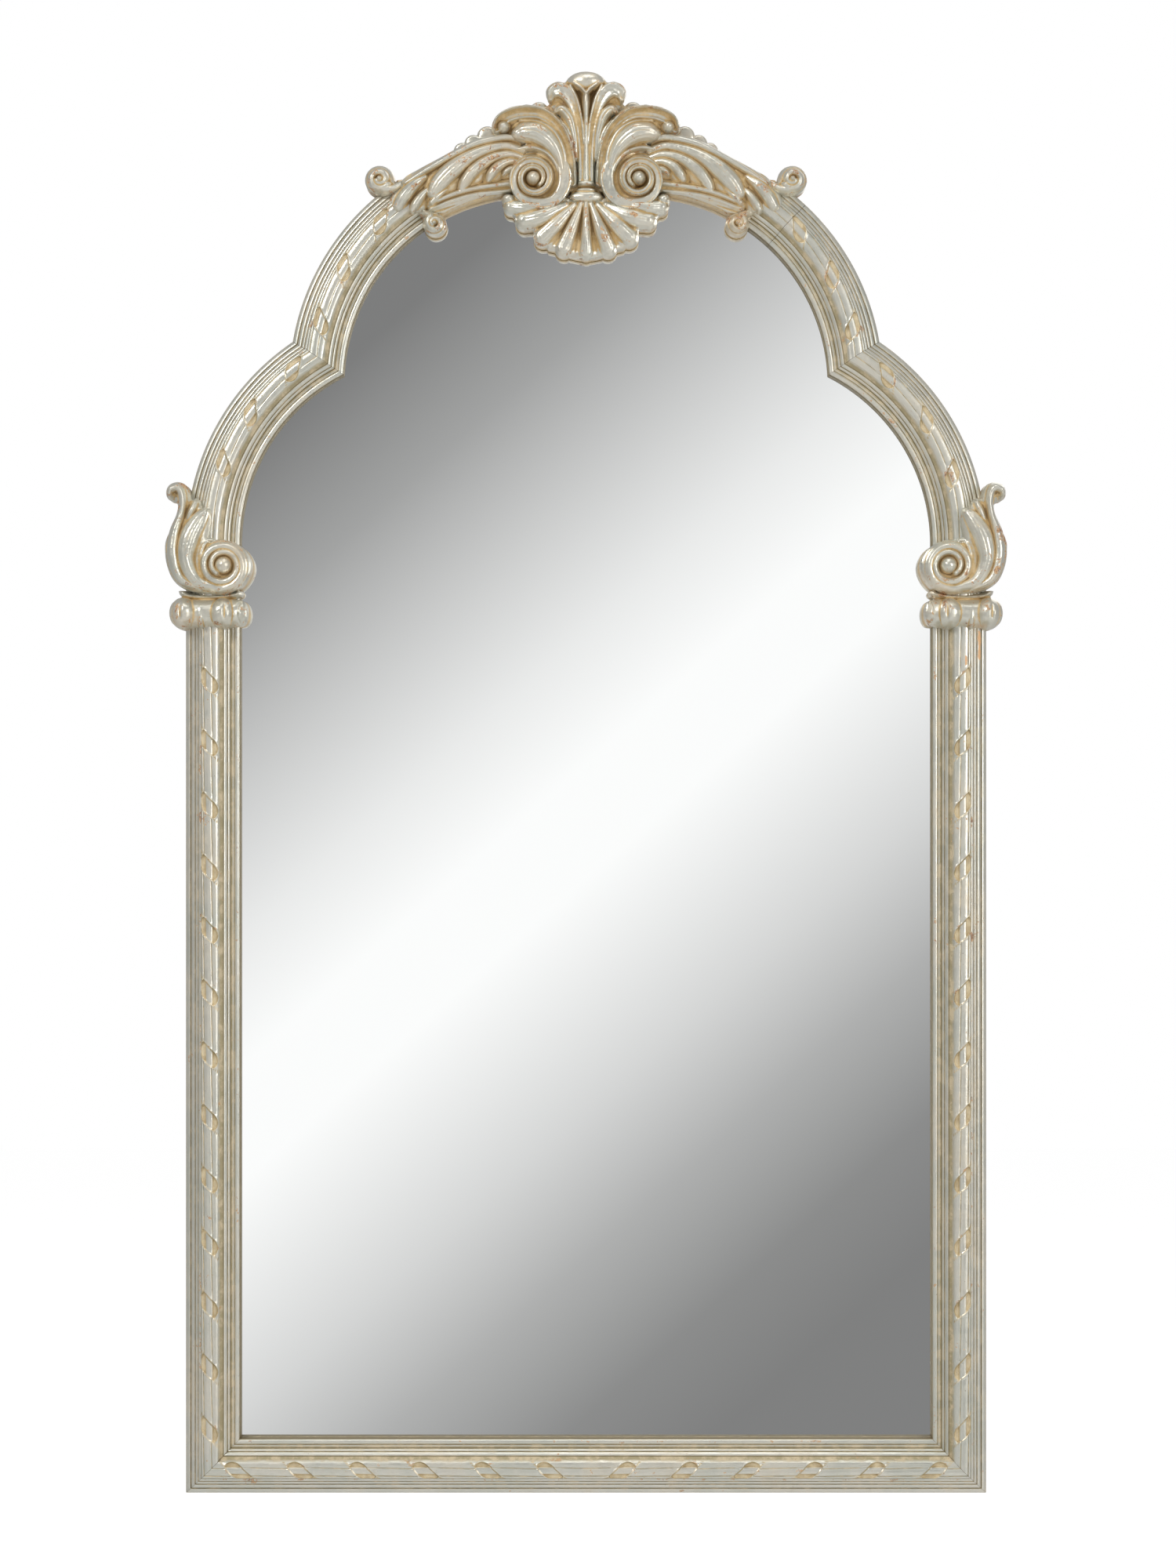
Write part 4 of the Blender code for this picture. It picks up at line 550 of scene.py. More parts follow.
def run_of_moulding(name, node, plan, distance, windows, flip, flakes=()):
    """Moulding whose plan(u) gives its line at each distance from the outer edge.

    plan holds the places in the wall plane, one row for each station and one column for each
    point of the section, and distance how far along the ribbon each of them lies.
    """
    stations = plan.shape[0]
    face = len(FACE_U)
    height = np.tile(face_height(FACE_U), (stations, 1))
    band = (FACE_U > RIBBON_START) & (FACE_U < RIBBON_END)
    wound, cut, gilt_and_highlight, rim = ribbon(
        np.tile(FACE_U[band] - RIBBON_MIDDLE, (stations, 1)), distance[:, :face][:, band], windows
    )
    height[:, band] += wound
    even = np.array([face_height(EVEN_U)] * 3)
    hollow, rub = hollow_and_rub(even, (1.0, EVEN_U[1]))
    hollow = np.tile(np.interp(FACE_U, EVEN_U, hollow[1]) * 1.3, (stations, 1))
    rub = np.tile(np.interp(FACE_U, EVEN_U, rub[1]), (stations, 1))
    own, rub[:, band] = hollow_and_rub(height[:, band], (WINDOW_STEP, FACE_STEP))
    # Besides glaze, the ribbon's hollow marks in cut hold a painted shade line along one side of each
    # window. Its gilt marks hold real gilding plus a painted highlight line along the other side.
    hollow[:, band] = np.clip(own * 0.45 + cut, 0, 1)
    rub[:, band] = np.clip(rub[:, band] + rim * 0.5, 0, 1)
    gold = np.zeros(height.shape)
    gold[:, band] = gilt_and_highlight
    whole = np.concatenate([height, np.tile([h for u, h in BACK_POINTS], (stations, 1))], axis=1)
    places = np.stack([plan[..., 0], -whole, plan[..., 1]], axis=-1).reshape(-1, 3)
    extra = np.zeros((stations, len(BACK_POINTS)))
    bare = np.zeros(height.shape)
    for u_middle, u_half, middle, half in flakes:
        across = ((FACE_U[None, :] - u_middle) / u_half) ** 4
        bare = np.maximum(bare, np.exp(-across - ((distance[:, :face] - middle) / half) ** 4) * 0.75)
    marks = {
        "hollow": np.concatenate([hollow, extra + 0.85], axis=1),
        "rub": np.concatenate([rub, extra], axis=1),
        "gold": np.concatenate([gold, extra], axis=1),
        "bare": np.concatenate([bare, extra], axis=1),
    }
    rows, columns = np.meshgrid(np.arange(stations - 1), np.arange(SECTION_COUNT), indexing="ij")
    following = (columns + 1) % SECTION_COUNT
    corners = [
        rows * SECTION_COUNT + columns,
        rows * SECTION_COUNT + following,
        (rows + 1) * SECTION_COUNT + following,
        (rows + 1) * SECTION_COUNT + columns,
    ]
    if flip:
        corners.reverse()
    faces = np.stack(corners, axis=-1).reshape(-1, 4).tolist()
    raw = (columns >= face) & (columns < SECTION_COUNT - 1)
    slots = raw.astype(int).reshape(-1).tolist()
    first = list(range(SECTION_COUNT))
    last = [(stations - 1) * SECTION_COUNT + i for i in range(SECTION_COUNT)]
    if flip:
        last.reverse()
    else:
        first.reverse()
    faces += [first, last]
    slots += [1, 1]
    piece = sharpened(mesh_piece(name, places, faces, [MOULDING_FINISH, RAW_WOOD], marks, slots), 62)
    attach(piece, "frame")
    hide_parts(node)


def windows_from(first, end):
    return list(np.arange(first, end, WINDOW_PITCH))


MIDDLE_COLUMN = int(np.argmin(np.abs(SECTION_U[:len(FACE_U)] - RIBBON_MIDDLE)))


def spaced(first, last, windows):
    """Shares of the way from first to last, close together where a window is cut."""
    made = [first]
    while made[-1] < last - 1e-9:
        near = min((abs(made[-1] - w) for w in windows), default=1.0) < WINDOW_REACH
        made.append(min(made[-1] + (WINDOW_STEP if near else ALONG_STEP), last))
    return ((np.array(made) - first) / (last - first))[:, None]


def straight_plan(start, end, at, windows=()):
    """Stations from start(u) to end(u); at gives the place for a distance and a u."""
    share = spaced(start[MIDDLE_COLUMN], end[MIDDLE_COLUMN], windows)
    along = start[None, :] * (1 - share) + end[None, :] * share
    return at(along, np.broadcast_to(SECTION_U, along.shape)), along


def upright(side):
    """Places on the stile of one side, from a height and a distance from the outer edge."""
    return lambda z, u: np.stack([side * (HALF_WIDTH - u), z], axis=-1)


mitre = BOTTOM_Z + SECTION_U
stile_windows = windows_from(FIRST_STILE_WINDOW, LAST_STILE_WINDOW)
for side, word in ((1, "right"), (-1, "left")):
    plan, along = straight_plan(
        mitre + JOINT_GAP,
        np.full(SECTION_COUNT, STILE_JOINT_Z - JOINT_GAP), upright(side), stile_windows,
    )
    # Finish has flaked off the right stile just under its capital
    flakes = ((0.0070, 0.0020, 0.770, 0.017), (0.0200, 0.0017, 0.7565, 0.006)) if side > 0 else ()
    run_of_moulding(
        f"stile_run_{word}", f"stile_{word}", plan, along, stile_windows, flip=side > 0, flakes=flakes
    )

reach = HALF_WIDTH - SECTION_U
rail_windows = windows_from(FIRST_RAIL_WINDOW, HALF_WIDTH + 0.01)
plan, along = straight_plan(
    -reach + JOINT_GAP, reach - JOINT_GAP, lambda x, u: np.stack([x, BOTTOM_Z + u], axis=-1),
    [side * (HALF_WIDTH - w) for w in rail_windows for side in (1, -1)],
)
run_of_moulding(
    "rail_run", "bottom_rail", plan, HALF_WIDTH - np.abs(along), rail_windows, flip=True
)

# Lower and upper arches: the same moulding, sawn from the solid to the curve in four pieces and
# mitred where two arcs meet in a cusp. A stub of it goes on into each end of the crest board.

SPRING_CENTRE = Vector((0.146, 0.866))
ARCH_CENTRE = Vector((0.050, 1.015))
OUTER_RADIUS = 0.226
SIGHT_RADIUS = OUTER_RADIUS - MOULDING_WIDTH
SEAM_ANGLE = math.radians(47)
STUB_ANGLE = math.radians(56)
LOWER_WINDOWS = {"left": (21.0, 36.1, 52.0), "right": (18.1, 33.8, 49.4)}
UPPER_WINDOWS = {"left": (15.8, 31.1, 46.5), "right": (14.4, 29.0, 43.7)}


def cusp(radius):
    half = (ARCH_CENTRE - SPRING_CENTRE) / 2
    across = Vector((half.y, -half.x)).normalized()
    return SPRING_CENTRE + half + across * math.sqrt(radius**2 - half.length_squared)


def angle_about(point, centre):
    return math.atan2(point.y - centre.y, point.x - centre.x)


RADII = OUTER_RADIUS - SECTION_U
RIBBON_RADIUS = OUTER_RADIUS - RIBBON_MIDDLE
LOWER_END = np.array([angle_about(cusp(r), SPRING_CENTRE) for r in RADII])
UPPER_START = np.array([angle_about(cusp(r), ARCH_CENTRE) for r in RADII])


def arc_plan(centre, side, start, end, windows):
    """Stations along an arc from start(u) to end(u), in radians."""
    ends = [line[MIDDLE_COLUMN] * RIBBON_RADIUS for line in (start, end)]
    share = spaced(*ends, windows)
    angle = start[None, :] * (1 - share) + end[None, :] * share
    x = side * (centre.x + RADII[None, :] * np.cos(angle))
    z = centre.y + RADII[None, :] * np.sin(angle)
    return np.stack([x, z], axis=-1), angle * RIBBON_RADIUS


def along_arc(degrees):
    return [math.radians(a) * RIBBON_RADIUS for a in degrees]


# The right seam has opened to a crack, the left one is still closed
SEAM_GAP = {"right": 0.0008, "left": 0.00015}
same = np.ones(SECTION_COUNT)
for side, word in ((1, "right"), (-1, "left")):
    foot, low = straight_plan(
        same * (STILE_JOINT_Z + JOINT_GAP), same * (SPRING_CENTRE.y - 0.001), upright(side)
    )
    windows = along_arc(LOWER_WINDOWS[word])
    bend, high = arc_plan(SPRING_CENTRE, side, same * 0, LOWER_END - JOINT_GAP / OUTER_RADIUS, windows)
    run_of_moulding(
        f"lower_arch_run_{word}", f"lower_arch_{word}", np.concatenate([foot, bend]),
        np.concatenate([low - SPRING_CENTRE.y, high]), windows, flip=side > 0,
    )
    windows = along_arc(UPPER_WINDOWS[word])
    bend, along = arc_plan(
        ARCH_CENTRE, side, UPPER_START + JOINT_GAP / OUTER_RADIUS,
        same * (SEAM_ANGLE - SEAM_GAP[word]), windows,
    )
    run_of_moulding(
        f"upper_arch_run_{word}", f"upper_arch_{word}", bend, along, windows, flip=side > 0
    )
    bend, along = arc_plan(
        ARCH_CENTRE, side, same * (SEAM_ANGLE + SEAM_GAP[word]), same * (STUB_ANGLE - 0.0003), windows
    )
    run_of_moulding(
        f"crest_stub_{word}", "crest_board", bend, along, windows, flip=side > 0
    )

# Crest board: one thick board over the arches, sawn to its outline, on which all the carving of
# the crest is glued. Its face shows between the leaves, with the ochre glaze left thick.

CREST_FOOT = Vector((0.0, 1.191))
MODULE = 0.0727
BOARD_THICKNESS = 0.028
CELL = 0.00048
BOARD_FACE_CELL = 0.0014
BOARD_BACK_CELL = 0.003
BOARD_TOP = (
    (2.22, 0.19), (2.08, 0.27), (1.90, 0.38), (1.71, 0.48), (1.55, 0.55), (1.38, 0.63),
    (1.18, 0.76), (1.00, 0.90), (0.82, 1.00), (0.62, 1.07), (0.47, 1.12), (0.45, 1.28),
    (0.36, 1.35), (0.24, 1.38), (0.12, 1.48), (0.00, 1.50),
)


def drawn(shares, foot=CREST_FOOT):
    """A drawing in modules, set on the object."""
    return [(foot.x + x * MODULE, foot.y + z * MODULE) for x, z in shares]


def round_plan(centre, radius, count):
    angles = np.linspace(0, math.tau, count, endpoint=False)
    return drawn([(centre[0] + radius * math.cos(a), centre[1] + radius * math.sin(a)) for a in angles])


def both_halves(half):
    return half + [(-x, z) for x, z in reversed(half) if abs(x) > 1e-6]


def relief_piece(name, node, x, z, height, depth, foot, round_over, mirror=False,
                 material=None, more_hollow=None):
    """A carved piece from a height over a grid of places, cut to where depth is above zero."""
    cell = x[1, 0] - x[0, 0]
    slope_x, slope_z = np.gradient(depth, cell)
    steep = np.maximum(np.hypot(slope_x, slope_z), 0.35)
    near = np.abs(depth) < 0.72 * cell
    moved_x = np.where(near, x - depth / steep * slope_x / steep, x)
    moved_z = np.where(near, z - depth / steep * slope_z / steep, z)
    kept_depth = np.where(near, 0.0, depth)
    fall = 1 - np.clip(kept_depth / round_over, 0, 1)
    drop = np.minimum(round_over, np.maximum(height - foot - 0.001, 0.0002))
    shaped = np.maximum(height - drop * (1 - np.sqrt(1 - fall**2)), foot + 0.0005)
    hollow, rub = hollow_and_rub(np.where(depth > -cell, height, foot), (cell, cell))
    inner = np.clip(depth / 0.0015, 0, 1)
    hollow = hollow * (0.4 + 0.6 * inner)
    if more_hollow is not None:
        hollow = np.clip(hollow + more_hollow, 0, 1)
    bm = bmesh.new()
    layers = [bm.verts.layers.float.new(label) for label in ("hollow", "rub")]
    kept = kept_depth >= 0
    grid = np.full(x.shape, None, object)
    sign = -1 if mirror else 1
    for i, j in zip(*np.nonzero(kept)):
        vert = bm.verts.new((sign * moved_x[i, j], -shaped[i, j], moved_z[i, j]))
        vert[layers[0]] = hollow[i, j]
        vert[layers[1]] = rub[i, j]
        grid[i, j] = vert
    for i in range(x.shape[0] - 1):
        for j in range(x.shape[1] - 1):
            ring = [grid[i, j], grid[i + 1, j], grid[i + 1, j + 1], grid[i, j + 1]]
            ring = [v for v in ring if v is not None]
            if len(ring) < 3:
                continue
            if mirror:
                ring.reverse()
            bm.faces.new(ring)
    loose = [v for v in bm.verts if not v.link_faces]
    bmesh.ops.delete(bm, geom=loose, context="VERTS")
    rim = [e for e in bm.edges if len(e.link_faces) == 1]
    walls = bmesh.ops.extrude_edge_only(bm, edges=rim)
    fresh = [v for v in walls["geom"] if isinstance(v, bmesh.types.BMVert)]
    for vert in fresh:
        vert.co.y = -foot
        vert[layers[0]] = EDGE_GLAZE
        vert[layers[1]] = 0.0
    rim = [e for e in bm.edges if len(e.link_faces) == 1]
    bmesh.ops.holes_fill(bm, edges=rim, sides=0)
    mesh = bpy.data.meshes.new(name)
    bm.to_mesh(mesh)
    bm.free()
    mesh.materials.append(material or CARVING_FINISH)
    mesh.shade_smooth()
    piece = bpy.data.objects.new(name, mesh)
    bpy.context.scene.collection.objects.link(piece)
    sharpened(piece, 70)
    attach(piece, "frame")
    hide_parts(node)


def grid_over(outline, margin=0.002, cell=CELL):
    line = np.asarray(outline, float)
    low, high = line.min(0) - margin, line.max(0) + margin
    xs = np.arange(low[0], high[0] + cell, cell)
    zs = np.arange(low[1], high[1] + cell, cell)
    return np.meshgrid(xs, zs, indexing="ij")


def hand_cut(x, z, depth):
    """Slight unevenness of a surface cut by hand."""
    waves = np.sin(x * 410 + 1.3 * np.sin(z * 290)) * np.sin(z * 370 + 1.1 * np.sin(x * 330))
    return depth * (waves + 0.5 * np.sin(x * 900 + z * 700) * np.sin(z * 1100 - x * 500))


def on_arch(radius, angle):
    return ARCH_CENTRE.x + radius * math.cos(angle), ARCH_CENTRE.y + radius * math.sin(angle)


angles = np.linspace(math.pi / 2, STUB_ANGLE, 16)
edge = [on_arch(SIGHT_RADIUS, angle) for angle in angles]
stub_top = on_arch(OUTER_RADIUS, STUB_ANGLE)
board_plan = both_halves([tuple(CREST_FOOT), *edge, stub_top, *drawn(BOARD_TOP)])
x, z = grid_over(board_plan, cell=BOARD_FACE_CELL)
depth = depth_in(board_plan, x, z)
relief_piece(
    "crest_board_face", "crest_board", x, z, np.full(x.shape, BOARD_THICKNESS) + hand_cut(x, z, 0.0003),
    depth, 0.0115, 0.002, more_hollow=np.full(x.shape, 0.35),
)
x, z = grid_over(board_plan, cell=BOARD_BACK_CELL)
sight = depth_in(board_plan, x, z)
glass_line = np.hypot(np.maximum(np.abs(x) - ARCH_CENTRE.x, 0), z - ARCH_CENTRE.y)
clear = np.minimum(sight, glass_line - SIGHT_RADIUS - BOARD_RABBET[0])
relief_piece(
    "crest_board_back", "crest_board", x, z, np.full(x.shape, 0.012), clear, 0.0, 0.0003,
    material=RAW_WOOD,
)

# Carving of the crest: shell, volutes, hooked leaves, plume, sprays, small lobes and curls. Each
# is limewood, cut in relief with gouges, undercut a little, and glued to the board.

GROUND = 0.0283
LEAF_GROUND = 0.0318
SKIRT = 1.9
SOFT_CUT = 0.0006
LEAF_STEPS = 10
OUTLINE_STEPS = 4
SPIRAL_STEPS = 16


def across_and_height(x, z, rows, foot, ground, shape):
    """Height of one leaf over its line. Rows are a place, a half width and a rise, in modules.

    The shape gives the height across the leaf, from -1 at its left edge to 1 at its right. A soft
    skirt round it keeps the gouge cuts beside it shallow.
    """
    line = smooth_line(rows, LEAF_STEPS)
    places = np.array(foot)[None, :] + line[:, :2] * MODULE
    half = np.maximum(line[:, 2], 0.012) * MODULE
    rise = line[:, 3] * MODULE
    height = np.full(x.shape, -1.0)
    inside = np.full(x.shape, -1.0)
    reach = half.max() * SKIRT
    box = (
        (x > places[:, 0].min() - reach) & (x < places[:, 0].max() + reach)
        & (z > places[:, 1].min() - reach) & (z < places[:, 1].max() + reach)
    )
    if not box.any():
        return height, inside
    spots = np.stack([x[box], z[box]], axis=1)
    best = np.full(len(spots), 1e9)
    side, lift, wide = np.zeros(len(spots)), np.zeros(len(spots)), np.ones(len(spots))
    for k in range(len(places) - 1):
        step = places[k + 1] - places[k]
        length = step @ step
        if length < 1e-14:
            continue
        share = np.clip((spots - places[k]) @ step / length, 0, 1)
        away = spots - places[k] - share[:, None] * step
        here = half[k] + (half[k + 1] - half[k]) * share
        gap = np.hypot(away[:, 0], away[:, 1]) / here
        nearer = gap < best
        best = np.where(nearer, gap, best)
        turn = np.sign(step[0] * away[:, 1] - step[1] * away[:, 0])
        side = np.where(nearer, turn, side)
        lift = np.where(nearer, rise[k] + (rise[k + 1] - rise[k]) * share, lift)
        wide = np.where(nearer, here, wide)
    own = shape(np.clip(best, 0, 1) * -side)
    skirt = 0.55 * np.clip(1 - (best / SKIRT) ** 2, 0, 1)
    height[box] = ground + lift * np.maximum(np.where(best < 1, own, 0), skirt)
    height[box] = np.where(best < SKIRT, height[box], -1.0)
    inside[box] = (1 - best) * wide
    return height, inside


def crown(s, power=2.0, lift=0.62):
    return np.clip(1 - np.abs(s) ** power, 0, 1) ** lift


def veined(s):
    """A leaf with a sunk vein along its middle and a soft ridge on each side of it."""
    ridges = np.exp(-(((np.abs(s) - 0.55) / 0.1) ** 2))
    return crown(s, 2.4) - 0.15 * np.exp(-((s / 0.12) ** 2)) - 0.06 * ridges


def scooped(s):
    """A hollow gouge cut between two raised rims."""
    return crown(s, 5.0, 0.7) * (0.66 + 0.34 * np.abs(s) ** 2.2)


def rimmed(s):
    """A hollow band with a strong round rim along its outer, right-hand edge."""
    rim = crown((s - 0.66) / 0.34)
    band = (0.70 + 0.16 * s**2) * crown(s, 6.0, 0.6)
    return np.maximum(rim, band)


def tongue(s):
    """A broad swelling leaf with a faint vein and two faint side veins."""
    veins = np.exp(-((s / 0.07) ** 2)) + 0.8 * np.exp(-(((np.abs(s) - 0.48) / 0.06) ** 2))
    return crown(s, 2.2, 0.55) - 0.05 * veins


def fluted(s):
    """A broad round rib with fine gouge lines along it."""
    return crown(s, 2.6, 0.6) - 0.07 * np.exp(-(((np.abs(s) - 0.42) / 0.09) ** 2))


def half_shell(s):
    """A roll along the left-hand edge, then a hollow that rises a little to the right."""
    roll = crown((s + 0.66) / 0.34)
    slope = 0.74 - 0.26 * np.sin(np.pi * np.clip((s + 0.45) / 1.45, 0, 1))
    return np.maximum(roll, np.where(s > -0.66, slope, 0) * crown(s, 8.0, 0.6))


def dome(x, z, row, foot, ground, power):
    """An egg-shaped lobe: a place, two radii and a depth, in modules."""
    cx, cz = foot.x + row[0] * MODULE, foot.y + row[1] * MODULE
    wide, tall, deep = row[2] * MODULE, row[3] * MODULE, row[4] * MODULE
    t = np.hypot((x - cx) / wide, (z - cz) / tall)
    height = np.where(t < 1, ground + deep * np.sqrt(np.clip(1 - t**power, 0, 1)), -1.0)
    return height, (1 - t) * min(wide, tall)


def spiral(centre, eye, start, turns, radii, widths, rises):
    """Rows along a scroll that closes in evenly from its centre to its eye."""
    count = int(abs(turns) * SPIRAL_STEPS)
    t = np.linspace(0, 1, count + 1)
    angle = start + math.tau * turns * t
    radius = radii[0] + (radii[1] - radii[0]) * t
    return [
        (
            centre[0] + (eye[0] - centre[0]) * s + r * math.cos(a),
            centre[1] + (eye[1] - centre[1]) * s + r * math.sin(a),
            widths[0] + (widths[1] - widths[0]) * s,
            rises[0] + (rises[1] - rises[0]) * s,
        )
        for s, a, r in zip(t, angle, radius)
    ]


def carved(name, outline, plate_top, parts, foot_height, sides=("right", "left"),
           round_over=0.0026, spread=True, smooth=True):
    """Carves one piece. Parts are heights over the grid, each made by a function of x and z."""
    line = smooth_line(outline, OUTLINE_STEPS, closed=True) if smooth else outline
    x, z = grid_over(line, 0.006)
    depth = depth_in(line, x, z)
    height = np.full(x.shape, plate_top)
    for part in parts:
        top, inside = part(x, z)
        overlap = np.clip(SOFT_CUT - np.abs(height - top), 0, SOFT_CUT)
        height = np.maximum(height, top) + overlap**2 / (4 * SOFT_CUT)
        if spread:
            depth = np.maximum(depth, inside)
    height = blurred(height, (1.0, 1.0)) + hand_cut(x, z, 0.00012)
    for word in sides:
        node = f"{name}_{word}" if word else name
        relief_piece(
            f"{node}_carving", node, x, z, height, depth, foot_height, round_over,
            mirror=word == "left",
        )


def leaf(rows, shape=crown, ground=LEAF_GROUND, foot=CREST_FOOT):
    return lambda x, z: across_and_height(x, z, rows, foot, ground, shape)


def ball(row, ground=LEAF_GROUND, foot=CREST_FOOT):
    return lambda x, z: dome(x, z, row, foot, ground, 2.0)


def foot_of(node):
    """Height of the back of a node over the wall."""
    return -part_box(node)[1].y


# Volutes
VOLUTE_EYE = (0.67, 0.16)
VOLUTE_TURNS = np.array([
    (120, .43, .100, .12), (180, .42, .115, .14), (225, .41, .100, .15), (270, .32, .080, .15),
    (315, .295, .066, .15), (360, .255, .058, .16), (405, .235, .052, .16), (450, .220, .050, .17),
    (540, .205, .046, .17), (630, .190, .042, .18), (720, .160, .038, .18), (810, .140, .034, .19),
    (900, .125, .030, .19), (960, .115, .026, .19),
])


def coiled(eye, turns):
    """Rows along a scroll, from its angles, radii, half widths and rises about its eye."""
    degrees = np.arange(turns[0, 0], turns[-1, 0], 18.0)
    made = [np.interp(degrees, turns[:, 0], turns[:, k]) for k in (1, 2, 3)]
    return [
        (eye[0] + r * math.cos(math.radians(a)), eye[1] + r * math.sin(math.radians(a)), w, h)
        for a, r, w, h in zip(degrees, *made)
    ]


carved(
    "volute", round_plan((0.58, 0.16), 0.40, 72), GROUND + 0.005,
    [
        leaf(coiled(VOLUTE_EYE, VOLUTE_TURNS), rimmed, GROUND + 0.006),
        ball((*VOLUTE_EYE, 0.092, 0.092, 0.23), GROUND + 0.006),
    ],
    foot_of("volute_right"), smooth=False, spread=False, round_over=0.0035,
)

# Hooked leaves
hooked_plan = drawn((
    (0.12, 0.10), (0.14, 0.45), (0.20, 0.75), (0.32, 0.94), (0.50, 1.06), (0.72, 1.10),
    (0.95, 1.05), (1.12, 0.97), (1.20, 0.84), (1.16, 0.72), (1.02, 0.70), (0.84, 0.66),
    (0.60, 0.60), (0.42, 0.40), (0.30, 0.10),
))
carved(
    "hooked_leaf", hooked_plan, LEAF_GROUND - 0.001,
    [
        leaf([(.17, .10, .050, .10), (.20, .45, .060, .14), (.32, .77, .070, .19),
              (.56, .97, .080, .24), (.86, .985, .090, .27), (1.07, .90, .085, .27),
              (1.14, .79, .062, .23)], half_shell),
        leaf([(.25, .12, .035, .10), (.28, .48, .045, .13), (.40, .74, .050, .15),
              (.60, .87, .045, .15), (.84, .89, .035, .13)]),
        leaf([(.29, .12, .050, .10), (.34, .40, .080, .17), (.44, .59, .125, .23),
              (.60, .715, .155, .28), (.77, .745, .140, .27), (.87, .72, .095, .22)], tongue),
        leaf([(.31, .10, .030, .09), (.39, .34, .040, .13), (.52, .49, .045, .15),
              (.70, .55, .045, .14), (.86, .53, .035, .11)]),
        ball((1.05, .81, .095, .085, .24)),
    ],
    foot_of("hooked_leaf_right"),
)

# Plume over its tie
plume_half = drawn((
    (0.00, -0.15), (0.14, -0.14), (0.23, -0.10), (0.16, 0.02), (0.11, 0.10), (0.13, 0.46),
    (0.19, 0.76), (0.31, 0.955), (0.40, 1.02), (0.49, 1.17), (0.51, 1.28), (0.45, 1.36),
    (0.36, 1.395), (0.27, 1.385), (0.22, 1.46), (0.12, 1.52), (0.00, 1.535),
))
plume_side = [
    leaf([(.06, .10, .030, .08), (.065, .60, .040, .12), (.11, .92, .060, .17), (.20, 1.16, .085, .23),
          (.31, 1.275, .105, .26), (.42, 1.25, .080, .22), (.455, 1.17, .035, .14)], scooped),
    leaf([(.03, .60, .020, .13), (.055, .90, .028, .16), (.12, 1.16, .032, .20),
          (.20, 1.33, .030, .19)]),
    leaf([(.12, .43, .025, .08), (.15, .70, .055, .12), (.21, .92, .080, .18), (.31, 1.03, .075, .20),
          (.385, 1.00, .035, .13)], veined),
    leaf([(.13, .40, .02, .06), (.17, .58, .035, .09), (.24, .78, .045, .12), (.33, .90, .03, .11)]),
]


def mirrored_part(part):
    def other(x, z):
        return tuple(grid[::-1] for grid in part(-x[::-1], z[::-1]))
    return other


carved(
    "plume", both_halves(plume_half), LEAF_GROUND - 0.0015,
    [
        leaf([(0, .12, .055, .10), (0, .50, .045, .14), (0, .90, .045, .18), (0, 1.12, .060, .22),
              (0, 1.26, .050, .20)]),
        ball((0, 1.385, .25, .145, .24)),
        leaf([(-.17, 1.37, .03, .22), (-.06, 1.29, .035, .25), (0, 1.22, .03, .24)]),
        leaf([(.17, 1.37, .03, .22), (.06, 1.29, .035, .25), (0, 1.22, .03, .24)]),
        *plume_side, *[mirrored_part(part) for part in plume_side],
        ball((0, .10, .115, .045, .13)), ball((0, .02, .13, .03, .10)),
        ball((0, -.07, .215, .085, .11)),
    ],
    foot_of("plume"), sides=("",),
)

# Acanthus sprays
angles = np.linspace(math.radians(62), math.radians(78), 8)
SPRAY_GAP = 0.0015
spray_foot = [on_arch(SIGHT_RADIUS + SPRAY_GAP, angle) for angle in angles]
spray_plan = spray_foot + drawn((
    (0.84, 0.04), (0.80, 0.40), (0.86, 0.66), (1.12, 0.73), (1.38, 0.65), (1.71, 0.51), (1.90, 0.41),
    (2.10, 0.31), (2.30, 0.20), (2.42, 0.05), (2.52, -0.12), (2.47, -0.22), (2.30, -0.25),
    (2.08, -0.27),
))
carved(
    "spray", spray_plan, LEAF_GROUND - 0.001,
    [
        leaf([(.80, .64, .045, .08), (1.02, .685, .060, .14), (1.40, .595, .066, .17),
              (1.75, .42, .062, .17), (2.05, .25, .050, .15), (2.30, .10, .030, .11)]),
        leaf([(.80, .52, .050, .08), (1.05, .575, .065, .13), (1.38, .48, .095, .18),
              (1.66, .30, .130, .23), (1.85, .12, .130, .22), (1.955, -.03, .090, .18)], tongue),
        leaf([(1.78, .02, .035, .10), (1.90, -.08, .050, .14), (1.97, -.15, .045, .13)]),
        leaf([(.80, .43, .045, .06), (1.00, .47, .060, .12), (1.24, .40, .080, .16),
              (1.43, .26, .095, .19), (1.54, .12, .085, .17), (1.585, .04, .058, .13)], tongue),
        leaf([(.80, .36, .040, .05), (.97, .38, .055, .11), (1.11, .32, .070, .15),
              (1.20, .22, .070, .15), (1.24, .15, .048, .11)], tongue),
        leaf([(.84, .28, .040, .06), (.95, .285, .050, .11), (1.02, .25, .045, .11),
              (1.05, .215, .030, .08)]),
        leaf([(2.05, .18, .045, .11), (2.19, .07, .080, .18), (2.32, -.08, .095, .19),
              (2.40, -.20, .070, .15)], tongue),
        leaf([(1.98, .05, .035, .10), (2.09, -.06, .062, .15), (2.17, -.17, .070, .16),
              (2.21, -.24, .050, .13)], tongue),
        leaf([(.98, .10, .030, .08), (1.40, .04, .038, .10), (1.72, -.045, .038, .10),
              (1.98, -.17, .025, .08)]),
        leaf([(.98, .01, .022, .05), (1.40, -.035, .030, .07), (1.70, -.115, .030, .07),
              (1.98, -.225, .022, .06)]),
    ],
    foot_of("spray_right"),
)

